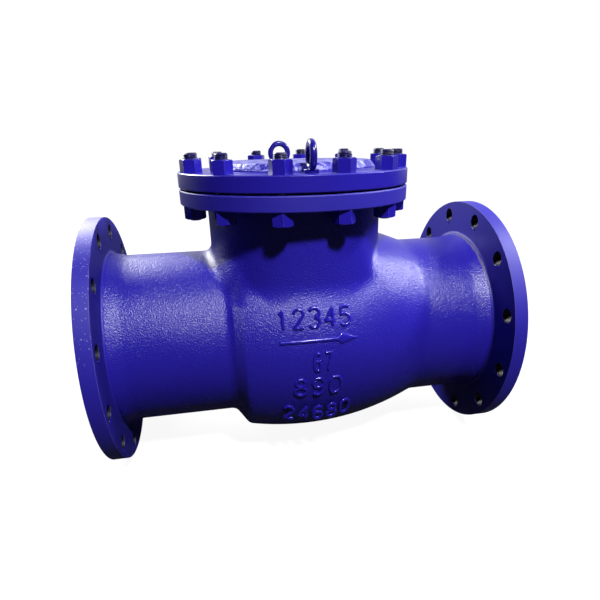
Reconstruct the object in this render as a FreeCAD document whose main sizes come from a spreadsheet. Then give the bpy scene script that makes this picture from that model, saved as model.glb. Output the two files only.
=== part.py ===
# Flanged swing check valve of 300 mm bore, with a bolted cover and an inside flap.
# The origin is the centre of the inlet flange face, X runs with the flow and Z points up to the cover.
# All sizes are in millimetres and degrees.
import FreeCAD, Part
import Sketcher
import os
import re

document = FreeCAD.newDocument("SwingCheckValve")

sizes = {
    # pipe ends
    "face_to_face": 750,
    "bore_diameter": 300,
    "flange_diameter": 460,
    "flange_thickness": 28,
    "raised_face_diameter": 370,
    "raised_face_height": 3,
    "bolt_edge": 25,
    "inlet_bolt_hole": 26,
    "outlet_bolt_hole": 26.4,
    "bolt_count": 12,
    "neck_diameter": 318,
    "hub_diameter": 330,
    "hub_length": 28,
    "hub_fillet": 6,
    # belly of the casting
    "belly_diameter": 410,
    "crown_curve": 540,
    "casting_wall": 11,
    "shoulder_foot": 226,
    "shoulder_angle": 55,
    "casting_round": 17,
    "outlet_round": 40,
    "cavity_shoulder": 14,
    # bonnet of the casting
    "bonnet_position": 375,
    "bonnet_neck_diameter": 320,
    "bonnet_bore": 298,
    "bonnet_face": 274.5,
    "bonnet_flange_diameter": 415,
    "bonnet_flange_thickness": 25,
    "bonnet_fillet": 6,
    "bonnet_arris": 1.5,
    "globe_diameter": 406,
    "globe_curve": 340,
    "globe_blend": 30,
    # seat
    "seat_plane": 268,
    "seat_wall": 20,
    "seat_ledge": 10,
    "throat_length": 24,
    "throat_step": 9,
    "ring_diameter": 296,
    "ring_depth": 22,
    "ring_wall": 12,
    "ring_projection": 3,
    "ring_land_lead": 1.5,
    "ring_land_edge": 3,
    "ring_relief": 1,
    "ring_lead": 2,
    "seat_gap": 0.3,
    # cover
    "gasket_thickness": 3,
    "gasket_inner": 306,
    "gasket_outer": 346,
    "cover_thickness": 26,
    "pad_diameter": 304,
    "pad_height": 16,
    "pad_slope": 11,
    "pad_crown": 2,
    "pad_fillet": 5,
    "cover_hollow_diameter": 262,
    "cover_hollow_depth": 14,
    "spigot_diameter": 296,
    "spigot_height": 4,
    # cover studs and nuts
    "stud_circle": 376,
    "stud_count": 12,
    "stud_diameter": 22,
    "stud_hole": 25,
    "stud_above": 10,
    "stud_below": 2.5,
    "stud_chamfer": 2.5,
    "nut_width": 32,
    "nut_height": 21.5,
    "chamfer_angle": 30,
    # lifting eyes
    "eye_circle": 340,
    "eye_inner": 26,
    "eye_bar": 11,
    "eye_height": 49,
    "eye_collar": 24,
    "eye_collar_height": 6,
    "eye_neck": 14,
    "eye_thread": 12,
    "eye_thread_length": 20,
    "eye_hole_depth": 22,
    # hinge
    "pin_position": 272,
    "pin_above_ledge": 32,
    "pin_diameter": 22,
    "pin_head_diameter": 30,
    "pin_head_height": 5,
    "pin_end": 11,
    "open_angle": 55,
    "ledge_cover": 24,
    "bracket_width": 148,
    "bracket_thickness": 12,
    "bracket_gap": 0.4,
    "ear_thickness": 19,
    "ear_diameter": 38,
    "pin_chamfer": 2,
    "stop_position": 246,
    "stop_height": 42,
    "screw_bay": 62,
    "screw_position": 247,
    "screw_spacing": 30,
    "screw_diameter": 16,
    "screw_clearance": 0.5,
    "screw_length": 36,
    "screw_head_width": 24,
    "screw_head_height": 10,
    "lock_washer_diameter": 27,
    "lock_washer_thickness": 3,
    "screw_hole_depth": 22,
    # swing arm
    "barrel_diameter": 36,
    "bush_diameter": 27,
    "side_gap": 0.5,
    "arm_window": 62,
    "arm_plate": 16,
    "arm_boss_diameter": 68,
    "arm_boss_length": 28,
    "arm_waist": 30,
    "arm_neck_top": 37,
    "arm_neck_foot": 64,
    "arm_knee": 57,
    "arm_shoulder": 51,
    "arm_window_depth": 29,
    "rib_thickness": 12,
    "rib_height": 13,
    "heel_width": 22,
    # flap
    "disc_diameter": 290,
    "disc_rim": 20,
    "disc_relief": 3,
    "disc_land": 13,
    "disc_land_lead": 4,
    "disc_back_curve": 520,
    "disc_boss_diameter": 72,
    "disc_boss_height": 37,
    "disc_boss_flare": 8,
    "disc_chamfer": 3,
    "stem_diameter": 34,
    "stem_thread": 30,
    "stem_end": 2,
    "stem_chamfer": 2,
    "end_play": 0.3,
    "disc_washer_diameter": 62,
    "disc_washer_thickness": 5,
    "disc_nut_width": 46,
    "disc_nut_height": 22,
    "castle_diameter": 42,
    "castle_height": 9,
    "castle_slot": 7,
    "castle_floor": 1,
    # clearances and small parts
    "running_gap": 0.05,
    "small_chamfer": 1,
    "split_wire": 4.8,
    "split_wire_gap": 0.1,
    "split_eye_outer": 12,
    "split_eye_inner": 5.6,
    "split_leg": 3.2,
    "split_leg_length": 10.5,
    "split_leg_bend": 55,
    "pin_washer_diameter": 40,
    "pin_washer_thickness": 4,
}

sheet = document.addObject("Spreadsheet::Sheet", "Sizes")
for row, (alias, size) in enumerate(sizes.items(), start=1):
    sheet.set(f"A{row}", alias)
    sheet.set(f"B{row}", str(size))
    sheet.setAlias(f"B{row}", alias)
document.recompute()


# Expressions name the sheet's cells by their plain words.
def bind(text):
    return re.sub(r"[a-z]\w*", lambda word: f"Sizes.{word[0]}" if word[0] in sizes else word[0], text)


def number(text):
    return float(sheet.evalExpression(bind(text)))


def set_size(item, field, text):
    item.setExpression(field, bind(text))


# Places that several pieces share, worked out from the sizes above.
wall_curve = "(crown_curve - casting_wall)"
crown_drop = "(crown_curve - belly_diameter / 2)"
bonnet_flange_back = "(bonnet_face - bonnet_flange_thickness)"
cover_base = "(bonnet_face + gasket_thickness)"
cover_top = f"({cover_base} + cover_thickness)"
disc_face = "(seat_plane + ring_projection + seat_gap)"
disc_boss_end = f"({disc_face} + disc_boss_height)"
arm_boss_start = f"({disc_boss_end} + end_play)"
arm_boss_end = f"({arm_boss_start} + arm_boss_length)"
stem_shoulder = f"({arm_boss_end} + end_play)"
disc_nut_seat = f"({stem_shoulder} + disc_washer_thickness)"
castle_start = f"({disc_nut_seat} + disc_nut_height)"
castle_end = f"({castle_start} + castle_height)"
ring_bore = "(ring_diameter / 2 - ring_wall)"
ledge_height = "(ring_diameter / 2 + ledge_cover)"
pin_height = f"({ledge_height} + pin_above_ledge)"
bracket_top = f"({ledge_height} + bracket_thickness)"
ear_inside = "(bracket_width / 2 - ear_thickness)"
barrel_half = f"({ear_inside} - side_gap)"
pin_washer_end = "(bracket_width / 2 + side_gap + pin_washer_thickness)"


def inner_crown(place):
    return f"(sqrt({wall_curve} ^ 2 - ({place} - bonnet_position) ^ 2) - {crown_drop})"


def new_body(label):
    body = document.addObject("PartDesign::Body", label)
    body.Label = label
    return body


# A sketch on one of the body's own planes, moved by expressions within that plane's frame.
def sketch_on(body, plane, name, **shift):
    sketch = body.newObject("Sketcher::SketchObject", name)
    base = next(item for item in body.Origin.OriginFeatures if item.Role == plane)
    sketch.AttachmentSupport = (base, [""])
    sketch.MapMode = "FlatFace"
    for axis, text in shift.items():
        set_size(sketch, f".AttachmentOffset.Base.{axis}", text)
    return sketch


def fix_point(sketch, line, end, across, up):
    for kind, text in (("DistanceX", across), ("DistanceY", up)):
        index = sketch.addConstraint(Sketcher.Constraint(kind, -1, 1, line, end, number(text)))
        set_size(sketch, f"Constraints[{index}]", text)


# The stretch after a corner is an arc of this radius that turns left or right.
def arc(radius, turn, long=False):
    return {"radius": radius, "left": turn == "left", "long": long}


def arc_through(start, end, bend):
    chord = end - start
    outward = FreeCAD.Vector(chord.y, -chord.x, 0).normalize()
    if not bend["left"]:
        outward = -outward
    radius = number(bend["radius"])
    inset = max(radius ** 2 - (chord.Length / 2) ** 2, 0) ** 0.5
    rise = radius + inset if bend["long"] else radius - inset
    middle = (start + end) / 2 + outward * rise
    return Part.Arc(start, middle, end) if bend["left"] else Part.Arc(end, middle, start)


# A closed profile: each corner is (across, up) or (across, up, arc), in words of the sheet.
def outline(sketch, corners):
    points = [FreeCAD.Vector(number(corner[0]), number(corner[1]), 0) for corner in corners]
    first = sketch.GeometryCount
    ends = []
    for index, corner in enumerate(corners):
        start, end = points[index], points[(index + 1) % len(points)]
        if len(corner) == 2:
            sketch.addGeometry(Part.LineSegment(start, end), False)
            ends.append((1, 2))
        else:
            sketch.addGeometry(arc_through(start, end, corner[2]), False)
            ends.append((1, 2) if corner[2]["left"] else (2, 1))
    for index, corner in enumerate(corners):
        line = first + index
        before = (index - 1) % len(corners)
        meeting = (first + before, ends[before][1], line, ends[index][0])
        sketch.addConstraint(Sketcher.Constraint("Coincident", *meeting))
        fix_point(sketch, line, ends[index][0], corner[0], corner[1])
        if len(corner) == 3:
            radius = corner[2]["radius"]
            place = sketch.addConstraint(Sketcher.Constraint("Radius", line, number(radius)))
            set_size(sketch, f"Constraints[{place}]", radius)


def circle(sketch, radius, across="0", up="0"):
    centre = FreeCAD.Vector(number(across), number(up), 0)
    line = sketch.addGeometry(Part.Circle(centre, FreeCAD.Vector(0, 0, 1), number(radius)), False)
    fix_point(sketch, line, 3, across, up)
    place = sketch.addConstraint(Sketcher.Constraint("Radius", line, number(radius)))
    set_size(sketch, f"Constraints[{place}]", radius)


def rectangle(sketch, left, right, bottom, top):
    outline(sketch, [(left, bottom), (right, bottom), (right, top), (left, top)])


def hexagon(sketch, width):
    corner_radius = f"{width} / sqrt(3)"
    turns = [60 * k for k in range(6)]
    outline(sketch, [(f"{corner_radius} * cos({turn})", f"{corner_radius} * sin({turn})") for turn in turns])


def turned(body, sketch, name, axis="H_Axis", kind="Revolution"):
    feature = body.newObject(f"PartDesign::{kind}", name)
    feature.Profile = sketch
    feature.ReferenceAxis = (sketch, [axis])
    feature.Angle = 360
    document.recompute()
    return feature


# Pads go along the sketch's normal and pockets against it, unless backward is set.
def extruded(body, sketch, name, length, kind="Pad", backward=False, both=False):
    feature = body.newObject(f"PartDesign::{kind}", name)
    feature.Profile = sketch
    set_size(feature, "Length", length)
    feature.Reversed = backward
    if both:
        feature.SideType = "Symmetric"
    document.recompute()
    return feature


def around(body, feature, axis_sketch, name, count):
    pattern = body.newObject("PartDesign::PolarPattern", name)
    pattern.Originals = [feature]
    pattern.Axis = (axis_sketch, ["N_Axis"])
    pattern.Angle = 360
    set_size(pattern, "Occurrences", count)
    body.Tip = pattern
    document.recompute()
    return pattern


# Edges are picked by where they lie, so a changed size picks the same ones.
def dressed(body, name, size, wanted, kind="Fillet"):
    base = body.Tip
    edges = [f"Edge{i}" for i, edge in enumerate(base.Shape.Edges, start=1) if wanted(edge)]
    feature = body.newObject(f"PartDesign::{kind}", name)
    feature.Base = (base, edges)
    set_size(feature, "Radius" if kind == "Fillet" else "Size", size)
    document.recompute()
    return feature


def is_ring(edge, centre, diameter):
    middle = FreeCAD.Vector(*[number(text) for text in centre])
    return (
        isinstance(edge.Curve, Part.Circle)
        and edge.Curve.Center.distanceToPoint(middle) < 0.01
        and abs(edge.Curve.Radius - number(diameter) / 2) < 0.01
    )


def ring_on_pipe(place, diameter):
    return lambda edge: is_ring(edge, (place, "0", "0"), diameter)


# The inlet shoulder: a corner on the neck, a straight slope and a full round that runs into the crown's arc.
def shoulder_corners():
    low = "(shoulder_foot + casting_round * sin(shoulder_angle))"
    low_radius = "(neck_diameter / 2 + casting_round * (1 - cos(shoulder_angle)))"
    across = f"({low} + casting_round * sin(shoulder_angle) - bonnet_position)"
    up = f"({low_radius} - casting_round * cos(shoulder_angle) + {crown_drop})"
    along = f"({across} * cos(shoulder_angle) + {up} * sin(shoulder_angle))"
    inner_curve = "(crown_curve - casting_round)"
    slope = f"(sqrt({along} ^ 2 - {across} ^ 2 - {up} ^ 2 + {inner_curve} ^ 2) - {along})"
    slope_across = f"{slope} * cos(shoulder_angle)"
    slope_up = f"{slope} * sin(shoulder_angle)"
    scale = f"crown_curve / {inner_curve}"
    corner = "(shoulder_foot + casting_round * tan(shoulder_angle / 2))"
    return [
        (corner, "neck_diameter / 2"),
        (f"{low} + {slope_across}", f"{low_radius} + {slope_up}", arc("casting_round", "right")),
        (
            f"bonnet_position + ({across} + {slope_across}) * {scale}",
            f"({up} + {slope_up}) * {scale} - {crown_drop}",
            arc("crown_curve", "right"),
        ),
    ]


# The crown's arc meets the outlet neck in a hollow round.
def outlet_corners():
    rise = f"(neck_diameter / 2 + outlet_round + {crown_drop})"
    reach = f"sqrt((crown_curve + outlet_round) ^ 2 - {rise} ^ 2)"
    scale = "crown_curve / (crown_curve + outlet_round)"
    return [
        (f"bonnet_position + {reach} * {scale}", f"{rise} * {scale} - {crown_drop}", arc("outlet_round", "left")),
        (f"bonnet_position + {reach}", "neck_diameter / 2"),
    ]


# The casting: flanges, necks and belly turned about the pipe, with the bonnet standing on them.
def make_valve_body():
    body = new_body("valve_body")
    outside = sketch_on(body, "XY_Plane", "casting_profile")
    outline(outside, [
        ("0", "0"),
        ("0", "raised_face_diameter / 2"),
        ("raised_face_height", "raised_face_diameter / 2"),
        ("raised_face_height", "flange_diameter / 2"),
        ("flange_thickness", "flange_diameter / 2"),
        ("flange_thickness", "hub_diameter / 2"),
        ("flange_thickness + hub_length", "neck_diameter / 2"),
        *shoulder_corners(),
        *outlet_corners(),
        ("face_to_face - flange_thickness - hub_length", "neck_diameter / 2"),
        ("face_to_face - flange_thickness", "hub_diameter / 2"),
        ("face_to_face - flange_thickness", "flange_diameter / 2"),
        ("face_to_face - raised_face_height", "flange_diameter / 2"),
        ("face_to_face - raised_face_height", "raised_face_diameter / 2"),
        ("face_to_face", "raised_face_diameter / 2"),
        ("face_to_face", "0"),
    ])
    turned(body, outside, "casting")
    inlet_hub = ring_on_pipe("flange_thickness", "hub_diameter")
    outlet_hub = ring_on_pipe("face_to_face - flange_thickness", "hub_diameter")
    dressed(body, "hub_rounds", "hub_fillet", lambda edge: inlet_hub(edge) or outlet_hub(edge))

    # The bonnet stands on a globe, whose arc runs up into the bonnet neck in a hollow round.
    flat = "(globe_diameter / 2 - globe_curve)"
    reach = "(bonnet_neck_diameter / 2 + globe_blend)"
    rise = f"sqrt((globe_curve + globe_blend) ^ 2 - ({reach} - {flat}) ^ 2)"
    share = "globe_curve / (globe_curve + globe_blend)"
    globe = sketch_on(body, "XZ_Plane", "globe_profile", x="bonnet_position")
    outline(globe, [
        ("0", "0"),
        ("globe_diameter / 2", "0", arc("globe_curve", "left")),
        (f"{flat} + ({reach} - {flat}) * {share}", f"{rise} * {share}", arc("globe_blend", "right")),
        ("bonnet_neck_diameter / 2", rise),
        ("bonnet_neck_diameter / 2", bonnet_flange_back),
        ("0", bonnet_flange_back),
    ])
    turned(body, globe, "globe", axis="V_Axis")

    # The seam where the belly and the globe leave the inlet neck curves over the neck's own surface.
    def on_seam(edge):
        first, last = edge.ParameterRange
        spots = [edge.valueAt(first + (last - first) * part) for part in (0.1, 0.5, 0.9)]
        near, far = number("flange_thickness + hub_length") + 1, number("bonnet_position")
        radius = number("neck_diameter / 2")
        on_neck = all(abs((spot.y ** 2 + spot.z ** 2) ** 0.5 - radius) < 0.01 for spot in spots)
        return on_neck and not isinstance(edge.Curve, Part.Line) and all(near < spot.x < far for spot in spots)

    dressed(body, "inlet_seam", "casting_round", on_seam)

    plate = sketch_on(body, "XY_Plane", "bonnet_flange_profile", x="bonnet_position", z=bonnet_flange_back)
    circle(plate, "bonnet_flange_diameter / 2")
    extruded(body, plate, "bonnet_flange", "bonnet_flange_thickness")
    under_flange = ("bonnet_position", "0", bonnet_flange_back)
    neck_ring = lambda edge: is_ring(edge, under_flange, "bonnet_neck_diameter")
    dressed(body, "bonnet_flange_round", "bonnet_fillet", neck_ring)

    cavity_start = "(seat_plane + cavity_shoulder)"
    cavity_end = f"(bonnet_position + sqrt({wall_curve} ^ 2 - ({crown_drop} + bore_diameter / 2) ^ 2))"
    inside = sketch_on(body, "XY_Plane", "cavity_profile")
    outline(inside, [
        ("0", "0"),
        ("0", "bore_diameter / 2"),
        ("seat_plane - ring_depth - seat_ledge - throat_length", "bore_diameter / 2"),
        ("seat_plane - ring_depth - seat_ledge", "ring_diameter / 2 - throat_step"),
        ("seat_plane - ring_depth", "ring_diameter / 2 - throat_step"),
        ("seat_plane - ring_depth", "ring_diameter / 2"),
        ("seat_plane", "ring_diameter / 2"),
        ("seat_plane", "ring_diameter / 2 + seat_wall"),
        (cavity_start, inner_crown(cavity_start), arc(wall_curve, "right")),
        (cavity_end, "bore_diameter / 2"),
        ("face_to_face", "bore_diameter / 2"),
        ("face_to_face", "0"),
    ])
    turned(body, inside, "cavity", kind="Groove")

    # The bonnet is bored to the seat's plane, and above the seat only down to the hinge ledge.
    reach = "(bonnet_position - seat_plane)"
    half_chord = f"sqrt((bonnet_bore / 2) ^ 2 - {reach} ^ 2)"
    well = sketch_on(body, "XY_Plane", "bonnet_well_profile", x="bonnet_position")
    outline(well, [
        (f"-{reach}", f"-{half_chord}", arc("bonnet_bore / 2", "left", long=True)),
        (f"-{reach}", half_chord),
    ])
    extruded(body, well, "bonnet_well", "bonnet_face", kind="Pocket", backward=True)
    ledge = sketch_on(body, "XY_Plane", "ledge_profile", x="bonnet_position", z=ledge_height)
    circle(ledge, "bonnet_bore / 2")
    extruded(body, ledge, "ledge_cut", f"bonnet_face - {ledge_height}", kind="Pocket", backward=True)

    screws = sketch_on(body, "XY_Plane", "ledge_screw_holes", z=ledge_height)
    for side in ("-", ""):
        circle(screws, "screw_diameter / 2 + running_gap", "screw_position", f"{side}screw_spacing / 2")
    extruded(body, screws, "ledge_screws", "screw_hole_depth", kind="Pocket")

    for end, place, backward in (("inlet", "0", True), ("outlet", "face_to_face", False)):
        holes = sketch_on(body, "YZ_Plane", f"{end}_hole_place", z=place)
        across = "(flange_diameter / 2 - bolt_edge) * sin(180 / bolt_count)"
        up = "(flange_diameter / 2 - bolt_edge) * cos(180 / bolt_count)"
        circle(holes, f"{end}_bolt_hole / 2", across, up)
        depth = "flange_thickness + hub_length"
        hole = extruded(body, holes, f"{end}_hole", depth, kind="Pocket", backward=backward)
        around(body, hole, holes, f"{end}_holes", "bolt_count")

    studs = stud_hole_sketch(body, "bonnet_face")
    hole = extruded(body, studs, "stud_hole", "bonnet_flange_thickness", kind="Pocket")
    around(body, hole, studs, "stud_holes", "stud_count")
    arris = [("bonnet_position", "0", level) for level in ("bonnet_face", bonnet_flange_back)]
    rim = lambda edge: any(is_ring(edge, place, "bonnet_flange_diameter") for place in arris)
    dressed(body, "bonnet_rim_arris", "bonnet_arris", rim, kind="Chamfer")
    return body


# One stud hole, half a pitch off the pipe's line, on the plane at this height.
def stud_hole_sketch(body, height, x="bonnet_position"):
    sketch = sketch_on(body, "XY_Plane", "stud_hole_place", x=x, z=height)
    across = "stud_circle / 2 * cos(180 / stud_count)"
    up = "stud_circle / 2 * sin(180 / stud_count)"
    circle(sketch, "stud_hole / 2", across, up)
    return sketch


def make_seat_ring():
    body = new_body("seat_ring")
    profile = sketch_on(body, "XY_Plane", "ring_profile")
    face = "(seat_plane + ring_projection)"
    relief = f"({face} - ring_relief)"
    outline(profile, [
        ("seat_plane - ring_depth", f"{ring_bore} + ring_lead"),
        ("seat_plane - ring_depth", "ring_diameter / 2 - running_gap"),
        (relief, "ring_diameter / 2 - running_gap"),
        (relief, "ring_diameter / 2 - ring_land_edge"),
        (face, "ring_diameter / 2 - ring_land_edge"),
        (face, f"{ring_bore} + ring_land_lead"),
        (relief, ring_bore),
        ("seat_plane - ring_depth + ring_lead", ring_bore),
    ])
    turned(body, profile, "ring")
    return body


# The cover stands on the gasket, and its own frame has its axis at the bonnet's.
def make_bonnet_cover():
    body = new_body("bonnet_cover")
    set_size(body, ".Placement.Base.x", "bonnet_position")
    profile = sketch_on(body, "XZ_Plane", "cover_profile")
    pad_top = f"({cover_top} + pad_height)"
    outline(profile, [
        ("0", f"{cover_base} + cover_hollow_depth"),
        ("cover_hollow_diameter / 2 - cover_hollow_depth", f"{cover_base} + cover_hollow_depth"),
        ("cover_hollow_diameter / 2", f"{cover_base} - spigot_height"),
        ("spigot_diameter / 2", f"{cover_base} - spigot_height"),
        ("spigot_diameter / 2", cover_base),
        ("bonnet_flange_diameter / 2 - bonnet_arris", cover_base),
        ("bonnet_flange_diameter / 2", f"{cover_base} + bonnet_arris"),
        ("bonnet_flange_diameter / 2", f"{cover_top} - bonnet_arris"),
        ("bonnet_flange_diameter / 2 - bonnet_arris", cover_top),
        ("pad_diameter / 2", cover_top),
        ("pad_diameter / 2 - pad_slope", f"{pad_top} - pad_crown"),
        ("0", pad_top),
    ])
    turned(body, profile, "cover", axis="V_Axis")
    pad_rings = [("0", "0", cover_top), ("0", "0", f"{pad_top} - pad_crown")]
    widths = ["pad_diameter", "(pad_diameter - 2 * pad_slope)"]
    pad_edge = lambda edge: any(is_ring(edge, place, width) for place, width in zip(pad_rings, widths))
    dressed(body, "pad_rounds", "pad_fillet", pad_edge)
    studs = stud_hole_sketch(body, cover_top, x="0")
    hole = extruded(body, studs, "stud_hole", "cover_thickness", kind="Pocket")
    around(body, hole, studs, "stud_holes", "stud_count")
    eyes = sketch_on(body, "XY_Plane", "eye_holes_place", z=cover_top)
    for side in ("-", ""):
        circle(eyes, "eye_thread / 2 + running_gap", "0", f"{side}eye_circle / 2")
    extruded(body, eyes, "eye_holes", "eye_hole_depth", kind="Pocket")
    return body


def make_bonnet_gasket():
    body = new_body("bonnet_gasket")
    set_size(body, ".Placement.Base.x", "bonnet_position")
    profile = sketch_on(body, "XY_Plane", "gasket_profile", z="bonnet_face")
    circle(profile, "gasket_outer / 2")
    circle(profile, "gasket_inner / 2")
    extruded(body, profile, "gasket", "gasket_thickness")
    return body


# All the studs are one body: a turned bar repeated round the bonnet's axis.
def make_cover_studs():
    body = new_body("cover_studs")
    set_size(body, ".Placement.Base.x", "bonnet_position")
    axis = sketch_on(body, "XY_Plane", "stud_section")
    across = "stud_circle / 2 * cos(180 / stud_count)"
    up = "stud_circle / 2 * sin(180 / stud_count)"
    low = f"({bonnet_flange_back} - nut_height - stud_below)"
    set_size(axis, ".AttachmentOffset.Base.z", low)
    circle(axis, "stud_diameter / 2", across, up)
    bar = extruded(body, axis, "stud", f"{cover_top} + nut_height + stud_above - {low}")
    tips = lambda edge: isinstance(edge.Curve, Part.Circle)
    chamfer = dressed(body, "stud_tips", "stud_chamfer", tips, kind="Chamfer")
    pattern = around(body, bar, axis, "studs_round", "stud_count")
    pattern.Originals = [bar, chamfer]
    document.recompute()
    return body


# One hexagon nut, standing on the plane at height 0, chamfered at the top or at both ends.
def make_nut(label):
    body = new_body(label)
    flats = sketch_on(body, "XY_Plane", "nut_flats")
    hexagon(flats, "nut_width")
    extruded(body, flats, "nut_blank", "nut_height")
    corner = "nut_width / sqrt(3)"
    outside = f"({corner} + small_chamfer)"
    drop = f"(({outside} - nut_width / 2) * tan(chamfer_angle))"
    corners = sketch_on(body, "XZ_Plane", "corner_profile")
    outline(corners, [
        ("nut_width / 2", "nut_height"),
        (outside, f"nut_height - {drop}"),
        (outside, "nut_height"),
    ])
    turned(body, corners, "nut_corners", axis="V_Axis", kind="Groove")
    bore = sketch_on(body, "XY_Plane", "nut_bore")
    circle(bore, "stud_diameter / 2 + running_gap")
    extruded(body, bore, "nut_hole", "nut_height", kind="Pocket", backward=True)
    return body


# Each nut stopped where it was tight, so every one is turned by its own angle.
upper_nut_turns = [12, 51, 27, 8, 38, 19, 53, 41, 42, 45, 44, 28]
lower_nut_turns = [35, 4, 49, 22, 57, 14, 8, 40, 26, 53, 31, 17]


def make_nut_ring(label, height, turns, flip_angle):
    nut = make_nut(f"{label}_pattern_piece")
    links = []
    flip = FreeCAD.Rotation(FreeCAD.Vector(1, 0, 0), flip_angle)
    for index in range(int(number("stud_count"))):
        link = document.addObject("App::Link", f"{label}_{index + 1}")
        link.LinkedObject = nut
        turn = f"({index} + 0.5) * 360 / stud_count"
        set_size(link, ".Placement.Base.x", f"bonnet_position + stud_circle / 2 * cos({turn})")
        set_size(link, ".Placement.Base.y", f"stud_circle / 2 * sin({turn})")
        set_size(link, ".Placement.Base.z", height)
        spin = FreeCAD.Rotation(FreeCAD.Vector(0, 0, 1), turns[index % len(turns)])
        link.Placement.Rotation = spin * flip
        links.append(link)
    ring = document.addObject("Part::Compound", label)
    ring.Label = label
    ring.Links = links
    return ring


def make_lifting_eye(label, side, turn):
    body = new_body(label)
    set_size(body, ".Placement.Base.x", "bonnet_position")
    set_size(body, ".Placement.Base.y", f"{side}eye_circle / 2")
    set_size(body, ".Placement.Base.z", cover_top)
    body.Placement.Rotation = FreeCAD.Rotation(FreeCAD.Vector(0, 0, 1), turn)
    ring_radius = "((eye_inner + eye_bar) / 2)"
    ring_height = f"(eye_height - {ring_radius} - eye_bar / 2)"
    ring = body.newObject("PartDesign::AdditiveTorus", "eye_ring")
    ring.AttachmentSupport = (next(p for p in body.Origin.OriginFeatures if p.Role == "XZ_Plane"), [""])
    ring.MapMode = "FlatFace"
    set_size(ring, ".AttachmentOffset.Base.y", ring_height)
    set_size(ring, "Radius1", ring_radius)
    set_size(ring, "Radius2", "eye_bar / 2")
    stem = sketch_on(body, "XZ_Plane", "stem_profile")
    outline(stem, [
        ("0", "-eye_thread_length"),
        ("eye_thread / 2 - small_chamfer", "-eye_thread_length"),
        ("eye_thread / 2", "small_chamfer - eye_thread_length"),
        ("eye_thread / 2", "0"),
        ("eye_collar / 2", "0"),
        ("eye_collar / 2", "eye_collar_height - small_chamfer"),
        ("eye_collar / 2 - small_chamfer", "eye_collar_height"),
        ("eye_neck / 2", f"{ring_height} - eye_inner / 2 - eye_bar / 2"),
        ("0", f"{ring_height} - eye_inner / 2 - eye_bar / 2"),
    ])
    turned(body, stem, "stem", axis="V_Axis")
    return body


# The bracket is bolted down on the ledge: two ears for the pin and a stop behind each arm hub.
def make_hinge_bracket():
    body = new_body("hinge_bracket")
    back = "(bonnet_position - bonnet_bore / 2)"
    foot = sketch_on(body, "XZ_Plane", "foot_profile")
    outline(foot, [
        (back, ledge_height),
        ("seat_plane", ledge_height),
        ("seat_plane", bracket_top),
        ("stop_position", bracket_top),
        ("stop_position", f"{bracket_top} + stop_height"),
        (back, f"{bracket_top} + stop_height"),
    ])
    extruded(body, foot, "foot", "bracket_width", both=True)
    ears = sketch_on(body, "XZ_Plane", "ear_profile")
    outline(ears, [
        ("stop_position", bracket_top),
        ("seat_plane", bracket_top),
        ("pin_position + ear_diameter / 2", pin_height),
        ("pin_position", f"{pin_height} + ear_diameter / 2"),
        ("stop_position", f"{pin_height} + ear_diameter / 2"),
    ])
    extruded(body, ears, "ear_webs", "bracket_width", both=True)
    eyes = sketch_on(body, "XZ_Plane", "ear_round_profile")
    circle(eyes, "ear_diameter / 2", "pin_position", pin_height)
    extruded(body, eyes, "ear_rounds", "bracket_width", both=True)

    above = sketch_on(body, "XY_Plane", "hub_bay_profile", z=bracket_top)
    rectangle(above, "stop_position", "pin_position + ear_diameter", f"-{ear_inside}", ear_inside)
    extruded(body, above, "hub_bay", pin_height, kind="Pocket", backward=True)
    behind = sketch_on(body, "XY_Plane", "screw_bay_profile", z=bracket_top)
    rectangle(behind, f"{back} - small_chamfer", "stop_position", "-screw_bay / 2", "screw_bay / 2")
    extruded(body, behind, "screw_bay_cut", pin_height, kind="Pocket", backward=True)
    trim = sketch_on(body, "XY_Plane", "neck_trim_profile", x="bonnet_position", z=ledge_height)
    circle(trim, "bonnet_bore / 2 - bracket_gap")
    circle(trim, "bonnet_bore")
    extruded(body, trim, "neck_trim", pin_height, kind="Pocket", backward=True)

    screws = sketch_on(body, "XY_Plane", "screw_hole_places", z=bracket_top)
    for side in ("-", ""):
        circle(screws, "screw_diameter / 2 + screw_clearance", "screw_position", f"{side}screw_spacing / 2")
    extruded(body, screws, "screw_holes", "bracket_thickness", kind="Pocket")
    bore = sketch_on(body, "XZ_Plane", "pin_bore_profile")
    circle(bore, "pin_diameter / 2 + running_gap", "pin_position", pin_height)
    extruded(body, bore, "pin_bore", "bracket_width", kind="Pocket", both=True)
    return body


# Screw with a hexagon head, pointing down from its seat on the washer.
def make_bracket_screws():
    seat = f"({bracket_top} + lock_washer_thickness)"
    screws = []
    for name, side in (("left", "-"), ("right", "")):
        shank = document.addObject("Part::Cylinder", f"screw_shank_{name}")
        set_size(shank, "Radius", "screw_diameter / 2")
        set_size(shank, "Height", "screw_length")
        set_size(shank, ".Placement.Base.z", f"{seat} - screw_length")
        head = document.addObject("Part::Prism", f"screw_head_{name}")
        head.Polygon = 6
        set_size(head, "Circumradius", "screw_head_width / sqrt(3)")
        set_size(head, "Height", "screw_head_height")
        set_size(head, ".Placement.Base.z", seat)
        for piece in (shank, head):
            set_size(piece, ".Placement.Base.x", "screw_position")
            set_size(piece, ".Placement.Base.y", f"{side}screw_spacing / 2")
        screw = document.addObject("Part::Fuse", f"screw_{name}")
        screw.Base = head
        screw.Tool = shank
        screws.append(screw)
    group = document.addObject("Part::Compound", "bracket_screws")
    group.Label = "bracket_screws"
    group.Links = screws
    return group


def make_lock_washers():
    body = new_body("bracket_lock_washers")
    profile = sketch_on(body, "XY_Plane", "washer_profile", z=bracket_top)
    for side in ("-", ""):
        circle(profile, "lock_washer_diameter / 2", "screw_position", f"{side}screw_spacing / 2")
        circle(profile, "screw_diameter / 2 + running_gap", "screw_position", f"{side}screw_spacing / 2")
    extruded(body, profile, "washers", "lock_washer_thickness")
    return body


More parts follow.
